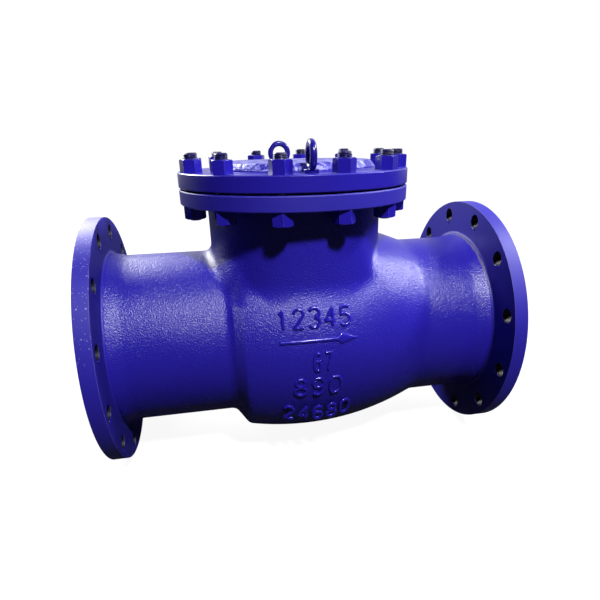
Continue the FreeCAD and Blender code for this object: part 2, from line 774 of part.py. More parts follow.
# The pin lies across the flow, with its head on the near side and its split pin on the far side.
def make_hinge_pin():
    body = new_body("hinge_pin")
    set_size(body, ".Placement.Base.x", "pin_position")
    set_size(body, ".Placement.Base.z", pin_height)
    profile = sketch_on(body, "XY_Plane", "pin_profile")
    head_seat = "(bracket_width / 2 + side_gap)"
    end = f"({pin_washer_end} + pin_end)"
    outline(profile, [
        ("0", f"-{head_seat} - pin_head_height"),
        ("pin_head_diameter / 2 - small_chamfer", f"-{head_seat} - pin_head_height"),
        ("pin_head_diameter / 2", f"small_chamfer - {head_seat} - pin_head_height"),
        ("pin_head_diameter / 2", f"-{head_seat}"),
        ("pin_diameter / 2", f"-{head_seat}"),
        ("pin_diameter / 2", f"{end} - pin_chamfer"),
        ("pin_diameter / 2 - pin_chamfer", end),
        ("0", end),
    ])
    turned(body, profile, "pin", axis="V_Axis")
    hole = sketch_on(body, "XY_Plane", "split_pin_hole")
    circle(hole, "split_wire / 2 + split_wire_gap", "0", f"{pin_washer_end} + split_wire")
    extruded(body, hole, "split_pin_bore", "pin_diameter * 2", kind="Pocket", both=True)
    return body


def make_pin_washer():
    body = new_body("hinge_pin_washer")
    set_size(body, ".Placement.Base.x", "pin_position")
    set_size(body, ".Placement.Base.z", pin_height)
    place = f"-{pin_washer_end}"
    profile = sketch_on(body, "XZ_Plane", "washer_profile", z=place)
    circle(profile, "pin_washer_diameter / 2")
    circle(profile, "pin_diameter / 2 + running_gap")
    extruded(body, profile, "washer", "pin_washer_thickness")
    return body


# A split pin along its own Z: a wire with an eye above the hole and two legs bent apart below it.
def make_split_pin(label, reach):
    shank = document.addObject("Part::Cylinder", f"{label}_shank")
    set_size(shank, "Radius", "split_wire / 2")
    set_size(shank, "Height", f"2 * {reach} + split_wire")
    set_size(shank, ".Placement.Base.z", f"-{reach} - split_wire / 2")
    rings = []
    for name in ("outer", "inner"):
        ring = document.addObject("Part::Cylinder", f"{label}_eye_{name}")
        set_size(ring, "Radius", f"split_eye_{name} / 2")
        set_size(ring, "Height", "split_leg")
        set_size(ring, ".Placement.Base.y", "split_leg / 2")
        set_size(ring, ".Placement.Base.z", f"{reach} + split_eye_outer / 2 + split_wire_gap")
        ring.Placement.Rotation = FreeCAD.Rotation(FreeCAD.Vector(1, 0, 0), 90)
        rings.append(ring)
    eye = document.addObject("Part::Cut", f"{label}_eye")
    eye.Base, eye.Tool = rings
    pieces = [shank, eye]
    for name, side in (("left", "-"), ("right", "")):
        leg = document.addObject("Part::Cylinder", f"{label}_leg_{name}")
        set_size(leg, "Radius", "split_leg / 2")
        set_size(leg, "Height", "split_leg_length")
        set_size(leg, ".Placement.Base.z", f"-{reach} - split_leg / 4")
        leg.Placement.Rotation = FreeCAD.Rotation(FreeCAD.Vector(0, 1, 0), 90)
        set_size(leg, ".Placement.Rotation.Angle", f"{side}(180 - split_leg_bend)")
        pieces.append(leg)
    pin = document.addObject("Part::MultiFuse", label)
    pin.Label = label
    pin.Shapes = pieces
    return pin


# The arm: a barrel in two hubs, a tapered plate down to the stem's boss, a rib and the stop heels.
def make_swing_arm():
    body = new_body("swing_arm")
    plate_back = f"({arm_boss_start} + arm_plate)"
    barrel = "(barrel_diameter / 2)"
    side = sketch_on(body, "XZ_Plane", "plate_side")
    outline(side, [
        (arm_boss_start, "0"),
        (plate_back, "0"),
        (plate_back, f"{pin_height} - arm_shoulder"),
        (f"pin_position + {barrel} * cos(arm_neck_top)", f"{pin_height} + {barrel} * sin(arm_neck_top)"),
        ("pin_position", pin_height),
        (f"pin_position + {barrel} * cos(arm_neck_foot)", f"{pin_height} - {barrel} * sin(arm_neck_foot)"),
        (arm_boss_start, f"{pin_height} - arm_knee"),
    ])
    extruded(body, side, "plate", f"2 * {barrel_half}", both=True)
    hub = sketch_on(body, "XZ_Plane", "barrel_round")
    circle(hub, barrel, "pin_position", pin_height)
    extruded(body, hub, "barrel", f"2 * {barrel_half}", both=True)

    # The heel's flat end meets the bracket's stop when the arm has turned by the open angle.
    heel = sketch_on(body, "XZ_Plane", "heel_profile", x="pin_position", y=pin_height)
    set_size(heel, ".AttachmentOffset.Rotation.Angle", "-open_angle")
    stop_reach = "(pin_position - stop_position - side_gap)"
    rectangle(heel, f"-{stop_reach}", "0", "0", "heel_width")
    extruded(body, heel, "heels", f"2 * {barrel_half}", both=True)

    sides = sketch_on(body, "YZ_Plane", "taper_profile", z="pin_position")
    for sign in ("-", ""):
        outline(sides, [
            (f"{sign}{barrel_half}", f"{pin_height} - barrel_diameter / 2"),
            (f"{sign}arm_waist", "0"),
            (f"{sign}arm_waist", "-arm_boss_diameter"),
            (f"{sign}({barrel_half} + barrel_diameter)", "-arm_boss_diameter"),
            (f"{sign}({barrel_half} + barrel_diameter)", f"{pin_height} - barrel_diameter / 2"),
        ])
    extruded(body, sides, "taper", f"4 * arm_boss_length", kind="Pocket", backward=True)
    boss = sketch_on(body, "YZ_Plane", "boss_round", z=arm_boss_start)
    circle(boss, "arm_boss_diameter / 2")
    extruded(body, boss, "boss", "arm_boss_length")
    rib = sketch_on(body, "XZ_Plane", "rib_side")
    outline(rib, [
        (f"{plate_back} - small_chamfer", "0"),
        (f"{plate_back} - small_chamfer", f"{pin_height} - arm_shoulder"),
        (plate_back, f"{pin_height} - arm_shoulder"),
        (f"{plate_back} + rib_height", "arm_boss_diameter * 3 / 4"),
        (f"{arm_boss_end} - small_chamfer", "0"),
    ])
    extruded(body, rib, "rib", "rib_thickness", both=True)

    window = sketch_on(body, "YZ_Plane", "window_profile", z="pin_position - barrel_diameter * 2")
    lowest = f"{pin_height} - arm_window_depth"
    rectangle(window, "-arm_window / 2", "arm_window / 2", lowest, f"{pin_height} * 2")
    extruded(body, window, "window", "barrel_diameter * 4", kind="Pocket", backward=True)
    stem = sketch_on(body, "YZ_Plane", "stem_bore", z="pin_position")
    circle(stem, "stem_diameter / 2 + running_gap")
    extruded(body, stem, "stem_hole", "4 * arm_boss_length", kind="Pocket", backward=True)
    bush = sketch_on(body, "XZ_Plane", "bush_bore")
    circle(bush, "bush_diameter / 2", "pin_position", pin_height)
    extruded(body, bush, "bush_hole", f"2 * {barrel_half}", kind="Pocket", both=True)
    return body


def make_hinge_bushes():
    body = new_body("hinge_bushes")
    set_size(body, ".Placement.Base.x", "pin_position")
    set_size(body, ".Placement.Base.z", pin_height)
    for name, place in (("far", f"-{barrel_half}"), ("near", "arm_window / 2")):
        profile = sketch_on(body, "XZ_Plane", f"{name}_bush_profile", z=place)
        circle(profile, "bush_diameter / 2")
        circle(profile, "pin_diameter / 2 + running_gap")
        extruded(body, profile, f"{name}_bush", f"{barrel_half} - arm_window / 2")
    return body


# The flap and its stem are one turned forging, relieved inside its seat land.
def make_flap_disc():
    body = new_body("flap_disc")
    profile = sketch_on(body, "XY_Plane", "flap_profile")
    rim_back = f"({disc_face} + disc_rim)"
    boss_foot = f"({rim_back} + disc_boss_flare)"
    stem_end_place = f"({castle_end} + stem_end)"
    outline(profile, [
        (f"{disc_face} + disc_relief", "0"),
        (f"{disc_face} + disc_relief", "disc_diameter / 2 - disc_land - disc_land_lead"),
        (disc_face, "disc_diameter / 2 - disc_land"),
        (disc_face, "disc_diameter / 2 - small_chamfer"),
        (f"{disc_face} + small_chamfer", "disc_diameter / 2"),
        (f"{rim_back} - disc_chamfer", "disc_diameter / 2"),
        (rim_back, "disc_diameter / 2 - disc_chamfer", arc("disc_back_curve", "left")),
        (boss_foot, "disc_boss_diameter / 2 + disc_boss_flare"),
        (f"{disc_boss_end} - small_chamfer", "disc_boss_diameter / 2"),
        (disc_boss_end, "disc_boss_diameter / 2 - small_chamfer"),
        (disc_boss_end, "stem_diameter / 2"),
        (stem_shoulder, "stem_diameter / 2"),
        (stem_shoulder, "stem_thread / 2"),
        (f"{stem_end_place} - stem_chamfer", "stem_thread / 2"),
        (stem_end_place, "stem_thread / 2 - stem_chamfer"),
        (stem_end_place, "0"),
    ])
    turned(body, profile, "flap")
    hole = sketch_on(body, "XY_Plane", "split_pin_hole")
    circle(hole, "split_wire / 2 + split_wire_gap", f"{castle_start} + castle_height / 2", "0")
    extruded(body, hole, "split_pin_bore", "stem_thread * 2", kind="Pocket", both=True)
    return body


def make_disc_washer():
    body = new_body("disc_washer")
    profile = sketch_on(body, "YZ_Plane", "washer_profile", z=stem_shoulder)
    circle(profile, "disc_washer_diameter / 2")
    circle(profile, "stem_thread / 2 + running_gap")
    extruded(body, profile, "washer", "disc_washer_thickness")
    return body


# Castle nut: hexagon, a turned crown above it, and slots across the crown for the split pin.
def make_disc_nut():
    body = new_body("disc_nut")
    flats = sketch_on(body, "YZ_Plane", "nut_flats", z=disc_nut_seat)
    hexagon(flats, "disc_nut_width")
    extruded(body, flats, "nut_hexagon", "disc_nut_height")
    crown = sketch_on(body, "YZ_Plane", "crown_round", z=castle_start)
    circle(crown, "castle_diameter / 2")
    extruded(body, crown, "crown", "castle_height")
    bore = sketch_on(body, "YZ_Plane", "nut_bore", z=disc_nut_seat)
    circle(bore, "stem_thread / 2 + running_gap")
    extruded(body, bore, "nut_hole", "disc_nut_height + castle_height", kind="Pocket", backward=True)
    slot = sketch_on(body, "YZ_Plane", "slot_profile", z=castle_end)
    rectangle(slot, "-castle_slot / 2", "castle_slot / 2", "0", "castle_diameter")
    cut = extruded(body, slot, "slot", "castle_height - castle_floor", kind="Pocket")
    around(body, cut, slot, "slots", "6")
    return body


pieces = [
    make_valve_body(),
    make_seat_ring(),
    make_bonnet_cover(),
    make_bonnet_gasket(),
    make_cover_studs(),
    make_nut_ring("upper_nuts", cover_top, upper_nut_turns, 0),
    make_nut_ring("lower_nuts", bonnet_flange_back, lower_nut_turns, 180),
    make_lifting_eye("lifting_eye_front", "-", 90),
    make_lifting_eye("lifting_eye_rear", "", 0),
    make_hinge_bracket(),
    make_bracket_screws(),
    make_lock_washers(),
    make_hinge_pin(),
    make_pin_washer(),
    make_swing_arm(),
    make_hinge_bushes(),
    make_flap_disc(),
    make_disc_washer(),
    make_disc_nut(),
]

hinge_cotter = make_split_pin("hinge_split_pin", "(pin_diameter / 2)")
set_size(hinge_cotter, ".Placement.Base.x", "pin_position")
set_size(hinge_cotter, ".Placement.Base.y", f"{pin_washer_end} + split_wire")
set_size(hinge_cotter, ".Placement.Base.z", pin_height)
disc_cotter = make_split_pin("disc_split_pin", "(castle_diameter / 2)")
set_size(disc_cotter, ".Placement.Base.x", f"{castle_start} + castle_height / 2")
disc_cotter.Placement.Rotation = FreeCAD.Rotation(FreeCAD.Vector(0, 0, 1), 90)
pieces += [hinge_cotter, disc_cotter]

document.recompute()
failed = [item.Label for item in document.Objects if "Invalid" in item.State or "Error" in item.State]
failed += [piece.Label for piece in pieces if piece.Shape.isNull() or not piece.Shape.isValid()]
if failed:
    raise RuntimeError("these objects failed: " + ", ".join(failed))

os.makedirs("parts", exist_ok=True)
for piece in pieces:
    piece.Shape.exportStep(f"parts/{piece.Label}.step")
    print(piece.Label, len(piece.Shape.Solids), round(piece.Shape.Volume / 1000, 1), "cm3")
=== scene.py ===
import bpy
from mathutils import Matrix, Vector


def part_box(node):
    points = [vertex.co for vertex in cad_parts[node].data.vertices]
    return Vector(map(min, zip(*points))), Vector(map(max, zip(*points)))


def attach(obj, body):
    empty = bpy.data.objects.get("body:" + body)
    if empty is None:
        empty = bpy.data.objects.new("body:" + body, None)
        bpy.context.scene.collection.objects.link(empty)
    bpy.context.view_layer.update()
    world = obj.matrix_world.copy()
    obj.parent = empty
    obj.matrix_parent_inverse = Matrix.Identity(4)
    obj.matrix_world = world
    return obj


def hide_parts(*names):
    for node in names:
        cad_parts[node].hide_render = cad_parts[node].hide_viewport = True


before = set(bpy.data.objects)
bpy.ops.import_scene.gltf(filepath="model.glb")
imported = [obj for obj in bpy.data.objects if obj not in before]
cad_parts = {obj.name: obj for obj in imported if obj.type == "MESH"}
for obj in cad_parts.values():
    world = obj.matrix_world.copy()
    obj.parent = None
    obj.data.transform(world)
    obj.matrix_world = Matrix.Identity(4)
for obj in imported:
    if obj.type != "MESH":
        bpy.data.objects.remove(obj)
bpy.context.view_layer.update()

import math
import random

import bmesh
import bpy
from mathutils import Matrix, Vector

scene = bpy.context.scene
scene.view_settings.view_transform = "Standard"
mm = 0.001

# The frame's own measures, which the added pieces and the painted zones are placed by.
bodyLow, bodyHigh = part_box("valve_body")
coverLow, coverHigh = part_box("bonnet_cover")
studLow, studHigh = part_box("cover_studs")
valveLength = bodyHigh.x - bodyLow.x
floorHeight = bodyLow.z
bonnetX = (coverLow.x + coverHigh.x) / 2
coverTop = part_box("upper_nuts")[0].z
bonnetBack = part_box("lower_nuts")[1].z

flangeHoles = {"count": 12, "circle": 205 * mm, "radius": 13 * mm}
hingePlace = (0.272, 0.0, 0.204)


# Camera: the place and aim that bring the flanges' rims onto the photograph's, on a 600 pixel square.
camera = {
    "place": (0.2195, -0.9227, 0.3438),
    "turnDeg": 10.5,      # to the right of +Y
    "downDeg": 22.17,
    "rollDeg": -1.23,
    "lens": 28.71,
    "sensorMm": 36,
    "shift": (-0.0077, 0.066),
    "nearest": 0.01,
}


def makeCamera():
    data = bpy.data.cameras.new("photoCamera")
    data.lens = camera["lens"]
    data.sensor_width = camera["sensorMm"]
    data.shift_x, data.shift_y = camera["shift"]
    data.clip_start = camera["nearest"]
    holder = bpy.data.objects.new("photoCamera", data)
    scene.collection.objects.link(holder)
    turn = Matrix.Rotation(math.radians(-camera["turnDeg"]), 4, "Z")
    tip = Matrix.Rotation(math.radians(90 - camera["downDeg"]), 4, "X")
    roll = Matrix.Rotation(math.radians(camera["rollDeg"]), 4, "Z")
    holder.matrix_world = Matrix.Translation(camera["place"]) @ turn @ tip @ roll
    scene.camera = holder


makeCamera()


# Colours are sRGB hex values, turned to linear light here.
def linear(hexColour):
    channels = [int(hexColour[k:k + 2], 16) / 255 for k in (1, 3, 5)]
    return [c / 12.92 if c <= 0.04045 else ((c + 0.055) / 1.055) ** 2.4 for c in channels] + [1.0]


# Adds one node; settings and links go to its sockets by name or number, or else to the node itself.
def addNode(tree, kind, settings=None, links=None):
    node = tree.nodes.new(kind)
    for name, value in (settings or {}).items():
        if isinstance(name, int) or name in node.inputs:
            node.inputs[name].default_value = value
        else:
            setattr(node, name, value)
    for name, source in (links or {}).items():
        tree.links.new(source, node.inputs[name])
    return node


def newMaterial(name):
    material = bpy.data.materials.new(name)
    material.use_nodes = True
    material.node_tree.nodes.clear()
    return material, material.node_tree


# A sum on up to three values, each a plain number or a socket.
def calc(tree, operation, *values):
    settings = {"operation": operation}
    links = {}
    for place, value in enumerate(values):
        (settings if isinstance(value, (int, float)) else links)[place] = value
    return addNode(tree, "ShaderNodeMath", settings, links).outputs[0]


# The same for vectors; a length or a dot product comes out as a number.
def vectorCalc(tree, operation, *values):
    settings = {"operation": operation}
    links = {}
    for place, value in enumerate(values):
        (settings if isinstance(value, tuple) else links)[place] = value
    result = "Value" if operation in ("LENGTH", "DOT_PRODUCT") else "Vector"
    return addNode(tree, "ShaderNodeVectorMath", settings, links).outputs[result]


# Shares from 0 to 1: where every one of them holds, where any of them holds, and where one doesn't.
def allOf(tree, first, *others):
    for other in others:
        first = calc(tree, "MULTIPLY", first, other)
    return first


def anyOf(tree, first, *others):
    for other in others:
        first = calc(tree, "MAXIMUM", first, other)
    return first


def notOf(tree, share):
    return calc(tree, "SUBTRACT", 1.0, share)


# 0 below both limits, 1 above them, smooth between; fall is its opposite.
def rise(tree, value, limits):
    settings = {"interpolation_type": "SMOOTHSTEP", 1: limits[0], 2: limits[1]}
    return addNode(tree, "ShaderNodeMapRange", settings, {0: value}).outputs[0]


def fall(tree, value, limits):
    return notOf(tree, rise(tree, value, limits))


# Noise whose lumps are about this many millimetres across, from 0 to 1.
def lumps(tree, place, sizeMm, detail=2.0, rough=0.5, distort=0.0):
    settings = {"Scale": 1000 / sizeMm * 0.5, "Detail": detail, "Roughness": rough, "Distortion": distort}
    return addNode(tree, "ShaderNodeTexNoise", settings, {"Vector": place}).outputs["Fac"]


# Fine rings about an axis, this many millimetres apart.
def toolRings(tree, place, axis, spacingMm, distort=0.0):
    ringsAtScaleOne = 0.314     # metres between the rings of a wave texture whose scale is 1
    settings = {
        "wave_type": "RINGS", "rings_direction": axis,
        "Scale": ringsAtScaleOne / (spacingMm * mm), "Distortion": distort,
    }
    return addNode(tree, "ShaderNodeTexWave", settings, {"Vector": place}).outputs["Fac"]


def blendColour(tree, share, first, second):
    settings = {"data_type": "RGBA"}
    links = {0: share}
    for place, value in ((6, first), (7, second)):
        if isinstance(value, str):
            settings[place] = linear(value)
        else:
            links[place] = value
    return addNode(tree, "ShaderNodeMix", settings, links).outputs[2]


def placeOf(tree):
    return addNode(tree, "ShaderNodeTexCoord").outputs["Object"]


# The distance that two sides at right angles make.
def distanceOf(tree, first, second):
    squares = [calc(tree, "POWER", side, 2) for side in (first, second)]
    return calc(tree, "SQRT", calc(tree, "ADD", *squares))


# Where a point lies: its coordinates, how far it is along from the bonnet's axis, and its distance
# from the pipe's axis and from the bonnet's.
def spotOf(tree):
    place = placeOf(tree)
    x, y, z = addNode(tree, "ShaderNodeSeparateXYZ", links={0: place}).outputs
    along = calc(tree, "SUBTRACT", x, bonnetX)
    return {
        "place": place, "x": x, "y": y, "z": z, "along": along,
        "fromPipe": distanceOf(tree, y, z), "fromBonnet": distanceOf(tree, along, y),
    }


def directionOf(tree, *parts):
    return addNode(tree, "ShaderNodeCombineXYZ", links=dict(enumerate(parts))).outputs[0]


# The surface's normal with every arris rounded, by a radius in metres.
def roundedNormal(tree, radius):
    settings = {"samples": 6}
    links = {}
    (settings if isinstance(radius, float) else links)["Radius"] = radius
    return addNode(tree, "ShaderNodeBevel", settings, links).outputs[0]


# Heights, each with its depth in metres, are laid over each other as bumps on the rounded normal.
# Before that, each easing turns a share of the normal toward a direction.
def surfaceNormal(tree, radius, heights, easings=()):
    normal = roundedNormal(tree, radius)
    for share, way in easings:
        links = {0: share, 4: normal, 5: way}
        turned = addNode(tree, "ShaderNodeMix", {"data_type": "VECTOR"}, links).outputs[1]
        normal = vectorCalc(tree, "NORMALIZE", turned)
    for height, depth in heights:
        links = {"Height": height, "Normal": normal}
        normal = addNode(tree, "ShaderNodeBump", {"Strength": 1.0, "Distance": depth}, links).outputs[0]
    return normal


# Where the rounded normal leaves the face's own one: 1 along an arris, 0 on the faces.
def arrisOf(tree, widthMm):
    own = addNode(tree, "ShaderNodeNewGeometry").outputs["Normal"]
    agree = vectorCalc(tree, "DOT_PRODUCT", roundedNormal(tree, widthMm * mm), own)
    return rise(tree, notOf(tree, agree), (0.03, 0.2))


def finishMaterial(tree, settings, links):
    shader = addNode(tree, "ShaderNodeBsdfPrincipled", settings, links)
    addNode(tree, "ShaderNodeOutputMaterial", links={"Surface": shader.outputs[0]})


# Gloss alkyd enamel, brushed and sprayed over a sand casting: deep ultramarine, wet-looking,
# with the sand's grain showing through as a glitter of small highlights.
enamel = {
    "blue": "#231a9e",
    "deepBlue": "#1d148b",
    "shadeMm": 120,         # slow drift between the two blues
    "chip": "#8486c4",      # dust and chips on the inlet rim's upper side
    "chipMm": 1.3,
    "chipLimits": (0.76, 0.79),
    # painted highlight: a pale lavender laid along the arrises, where the paint also lies thin, and on the
    # crests of the cover's crust as a painted sheen
    "paintedHighlight": "#9a9de0",     # on the sharp arrises of turned and sawn faces
    "highlightShare": 0.6,
    "highlightMm": 1.0,
    # The flange holes' walls are coloured nearly black: painted shade of the holes, over walls that hold
    # little paint.
    "holeShade": "#0a0a18",   # the flange holes' walls hold little paint and look nearly black
    "rubbedRing": "#6f6a66",
    "rubbedShare": 0.6,
    "ior": 1.5,
    "roughness": 0.32,
    "roughnessSpread": 0.14,
    "turnedRoughness": 0.2,     # more, where the paint lies thin on turned faces
    "grainMm": 1.2,         # the grain of moulding sand, drawn about three times as coarse as it is
    "grainDepth": 0.0008,
    "patchMm": 70,          # the grain is stronger in some patches than in others
    "patchLimits": (0.3, 0.7),
    "waveMm": 55,           # slow unevenness of the casting
    "waveDepth": 0.0022,
    "peelMm": 9,            # orange peel of the paint on turned faces
    "peelDepth": 0.00012,
    "arrisMm": 1.5,
    "bellyArrisMm": 14,     # the moulder rubbed the casting's own creases well round
}
bareMetal = {
    "turned": "#8f8d86",    # turned steel under a film of oil
    "cast": "#4a4a4c",
    "metallic": 0.85,
    "roughness": 0.2,       # more than the paint's
    "faceRingMm": 5.2333,   # the gasket grooves of the end faces, drawn coarser than the real 0.8 mm
    "faceRingDepth": 0.0002,
}

# Where the casting changes, in metres. Each pair is where a smooth change begins and where it ends.
zones = {
    "flange": (0.0285, 0.0335),         # from either end
    "endFace": (0.0002, 0.0006),
    "bonnetFlange": (-0.004, 0.0),      # from its back
    "bore": (0.1505, 0.1512),           # from the pipe's axis
    "well": (0.1492, 0.1498),           # from the bonnet's axis
    "wellFloor": (0.1, 0.11),
    "hollowStart": (0.188, 0.190),
    "hollowEnd": (0.690, 0.692),
    "hollowTop": (0.232, 0.235),
    "hollowWall": (-0.012, -0.004),     # how far outward the face looks from the belly's middle
    "holeWall": (0.0133, 0.0138),       # from a flange hole's axis
    "rim": (0.2285, 0.2293),            # from the pipe's axis
    "rimTop": (0.0, 0.1),
    "ringStart": (0.0255, 0.0265),      # from the outlet's face
    "ringEnd": (0.030, 0.031),
    "ringTop": (0.06, 0.12),
    "ringReach": (0.1695, 0.171),
    "rubbedStart": (0.040, 0.048),      # from either end
    "rubbedTop": (0.215, 0.232),
    "seamStart": (0.185, 0.195),
    "seamEnd": (0.240, 0.250),
    "seamTop": (0.10, 0.12),
    "roundStart": (0.206, 0.216),
    "roundEnd": (0.475, 0.515),
    "roundTop": (0.088, 0.120),
    "roundReach": (0.161, 0.170),
    "uprightLow": (0.106, 0.136),
    "uprightHigh": (0.185, 0.205),
    "uprightAside": (0.09, 0.14),       # from the bonnet's axis, along the pipe
}

# The belly's surface: one arc turned about the pipe and one about the bonnet, whichever stands
# further out.
belly = {
    "centreX": 375 * mm,
    "crownRadius": 205 * mm,
    "crownCurve": 540 * mm,
    "globeRadius": 203 * mm,
    "globeCurve": 340 * mm,
}


def enamelShade(tree, place):
    drift = lumps(tree, place, enamel["shadeMm"], detail=3.0)
    return blendColour(tree, drift, enamel["deepBlue"], enamel["blue"])


# Bare metal: the bore, the bonnet's well, the end faces and the hollow round the flap, whose walls
# face the belly's middle.
def bareShare(tree, spot, isEndFace):
    x, z = spot["x"], spot["z"]
    isBore = fall(tree, spot["fromPipe"], zones["bore"])
    isWell = allOf(tree, fall(tree, spot["fromBonnet"], zones["well"]), rise(tree, z, zones["wellFloor"]))
    fromMiddle = vectorCalc(tree, "SUBTRACT", spot["place"], (bonnetX, 0, 0))
    facing = addNode(tree, "ShaderNodeNewGeometry").outputs["Normal"]
    outward = vectorCalc(tree, "DOT_PRODUCT", fromMiddle, facing)
    isHollow = allOf(
        tree,
        rise(tree, x, zones["hollowStart"]), fall(tree, x, zones["hollowEnd"]),
        fall(tree, outward, zones["hollowWall"]), fall(tree, z, zones["hollowTop"]),
    )
    return anyOf(tree, isBore, isHollow, isWell, isEndFace)


# Painted shade: the walls of the flange holes, coloured nearly black.
def holeShadeShare(tree, spot, isFlange):
    turn = calc(tree, "ARCTAN2", spot["y"], spot["z"])
    pitch = 2 * math.pi / flangeHoles["count"]
    fromHole = calc(tree, "SUBTRACT", calc(tree, "FLOORED_MODULO", turn, pitch), pitch / 2)
    sideways = calc(tree, "MULTIPLY", calc(tree, "SINE", fromHole), spot["fromPipe"])
    outward = calc(tree, "MULTIPLY", calc(tree, "COSINE", fromHole), spot["fromPipe"])
    fromCircle = calc(tree, "SUBTRACT", outward, flangeHoles["circle"])
    isHole = fall(tree, distanceOf(tree, sideways, fromCircle), zones["holeWall"])
    return allOf(tree, isHole, isFlange)


# Dust and small chips on the inlet rim's upper side.
def chipShare(tree, spot):
    isRimTop = allOf(
        tree,
        rise(tree, spot["fromPipe"], zones["rim"]), fall(tree, spot["x"], zones["flange"]),
        rise(tree, spot["z"], zones["rimTop"]),
    )
    specks = lumps(tree, spot["place"], enamel["chipMm"], detail=0.0)
    return allOf(tree, isRimTop, rise(tree, specks, enamel["chipLimits"]))


# A narrow turned ring at the outlet hub's root was left unpainted on its upper side.
def ringShare(tree, spot, fromOutlet):
    wander = calc(tree, "MULTIPLY", lumps(tree, spot["place"], 14, detail=3.0), 8 * mm)
    depth = calc(tree, "SUBTRACT", fromOutlet, wander)
    return allOf(
        tree,
        rise(tree, depth, zones["ringStart"]), fall(tree, depth, zones["ringEnd"]),
        rise(tree, spot["z"], zones["ringTop"]), fall(tree, spot["fromPipe"], zones["ringReach"]),
        enamel["rubbedShare"],
    )


# The casting's own creases are rubbed round on the belly, the necks and the hubs' ends, but the
# inlet's seam stays sharp.
def rubbedRadius(tree, spot, fromEnd):
    x, z = spot["x"], spot["z"]
    isSeam = allOf(
        tree,
        rise(tree, x, zones["seamStart"]), fall(tree, x, zones["seamEnd"]), fall(tree, z, zones["seamTop"]),
    )
    isRubbed = allOf(
        tree,
        rise(tree, fromEnd, zones["rubbedStart"]), fall(tree, z, zones["rubbedTop"]), notOf(tree, isSeam),
    )
    spread = (enamel["bellyArrisMm"] - enamel["arrisMm"]) * mm
    return calc(tree, "MULTIPLY_ADD", isRubbed, spread, enamel["arrisMm"] * mm)


# Hand grinding eased the belly's front into one round about the pipe and, in the hollow under the
# bonnet, into an upright round like the bonnet's own neck.
def groundFront(tree, spot):
    x, y, z, along = (spot[name] for name in ("x", "y", "z", "along"))
    isRound = allOf(
        tree,
        rise(tree, x, zones["roundStart"]), fall(tree, x, zones["roundEnd"]),
        fall(tree, z, zones["roundTop"]), rise(tree, spot["fromPipe"], zones["roundReach"]),
    )
    roundWay = directionOf(
        tree, calc(tree, "DIVIDE", along, belly["crownCurve"]),
        calc(tree, "DIVIDE", y, spot["fromPipe"]), calc(tree, "DIVIDE", z, spot["fromPipe"]),
    )
    isUpright = allOf(
        tree,
        rise(tree, z, zones["uprightLow"]), fall(tree, z, zones["uprightHigh"]),
        fall(tree, calc(tree, "ABSOLUTE", along), zones["uprightAside"]),
    )
    uprightWay = directionOf(
        tree, calc(tree, "DIVIDE", along, spot["fromBonnet"]), calc(tree, "DIVIDE", y, spot["fromBonnet"]),
    )
    return (isRound, roundWay), (isUpright, uprightWay)


def enamelOnSandCasting():
    material, tree = newMaterial("enamelOnSandCasting")
    spot = spotOf(tree)
    place = spot["place"]
    fromOutlet = calc(tree, "SUBTRACT", valveLength, spot["x"])
    fromEnd = calc(tree, "MINIMUM", spot["x"], fromOutlet)
    # turned faces: both end flanges and the bonnet flange, where only the paint's own skin shows
    isFlange = fall(tree, fromEnd, zones["flange"])
    isEndFace = fall(tree, fromEnd, zones["endFace"])
    fromBack = calc(tree, "SUBTRACT", spot["z"], bonnetBack)
    isTurned = anyOf(tree, isFlange, rise(tree, fromBack, zones["bonnetFlange"]))
    isCast = notOf(tree, isTurned)
    isBare = bareShare(tree, spot, isEndFace)

    painted = blendColour(
        tree, ringShare(tree, spot, fromOutlet), enamelShade(tree, place), enamel["rubbedRing"]
    )
    # painted shade in the flange holes' walls
    painted = blendColour(tree, holeShadeShare(tree, spot, isFlange), painted, enamel["holeShade"])
    painted = blendColour(tree, chipShare(tree, spot), painted, enamel["chip"])
    # painted highlight in pale lavender along the turned faces' arrises, where the paint also lies thin
    isArrisHighlight = allOf(tree, arrisOf(tree, enamel["highlightMm"]), isTurned, enamel["highlightShare"])
    painted = blendColour(tree, isArrisHighlight, painted, enamel["paintedHighlight"])
    steel = blendColour(tree, lumps(tree, place, 30, detail=4.0), bareMetal["cast"], bareMetal["turned"])
    colour = blendColour(tree, isBare, painted, steel)

    base = enamel["roughness"] - enamel["roughnessSpread"] / 2
    roughness = calc(tree, "MULTIPLY_ADD", lumps(tree, place, 90), enamel["roughnessSpread"], base)
    roughness = calc(tree, "MULTIPLY_ADD", isBare, bareMetal["roughness"], roughness)
    roughness = calc(tree, "MULTIPLY_ADD", isTurned, enamel["turnedRoughness"], roughness)

    isPatch = rise(tree, lumps(tree, place, enamel["patchMm"]), enamel["patchLimits"])
    grainStrength = calc(tree, "MULTIPLY_ADD", isPatch, 0.5, 1.0)
    grain = lumps(tree, place, enamel["grainMm"], detail=1.0, rough=0.6)
    wave = lumps(tree, place, enamel["waveMm"], detail=1.0)
    peel = lumps(tree, place, enamel["peelMm"])
    rings = toolRings(tree, place, "X", bareMetal["faceRingMm"])
    normal = surfaceNormal(tree, rubbedRadius(tree, spot, fromEnd), [
        (allOf(tree, wave, isCast), enamel["waveDepth"]),
        (allOf(tree, peel, isTurned), enamel["peelDepth"]),
        (allOf(tree, grain, isCast, grainStrength), enamel["grainDepth"]),
        (allOf(tree, rings, isEndFace), bareMetal["faceRingDepth"]),
    ], groundFront(tree, spot))
    finishMaterial(tree, {"IOR": enamel["ior"]}, {
        "Base Color": colour, "Roughness": roughness, "Normal": normal,
        "Metallic": allOf(tree, isBare, bareMetal["metallic"]),
    })
    return material


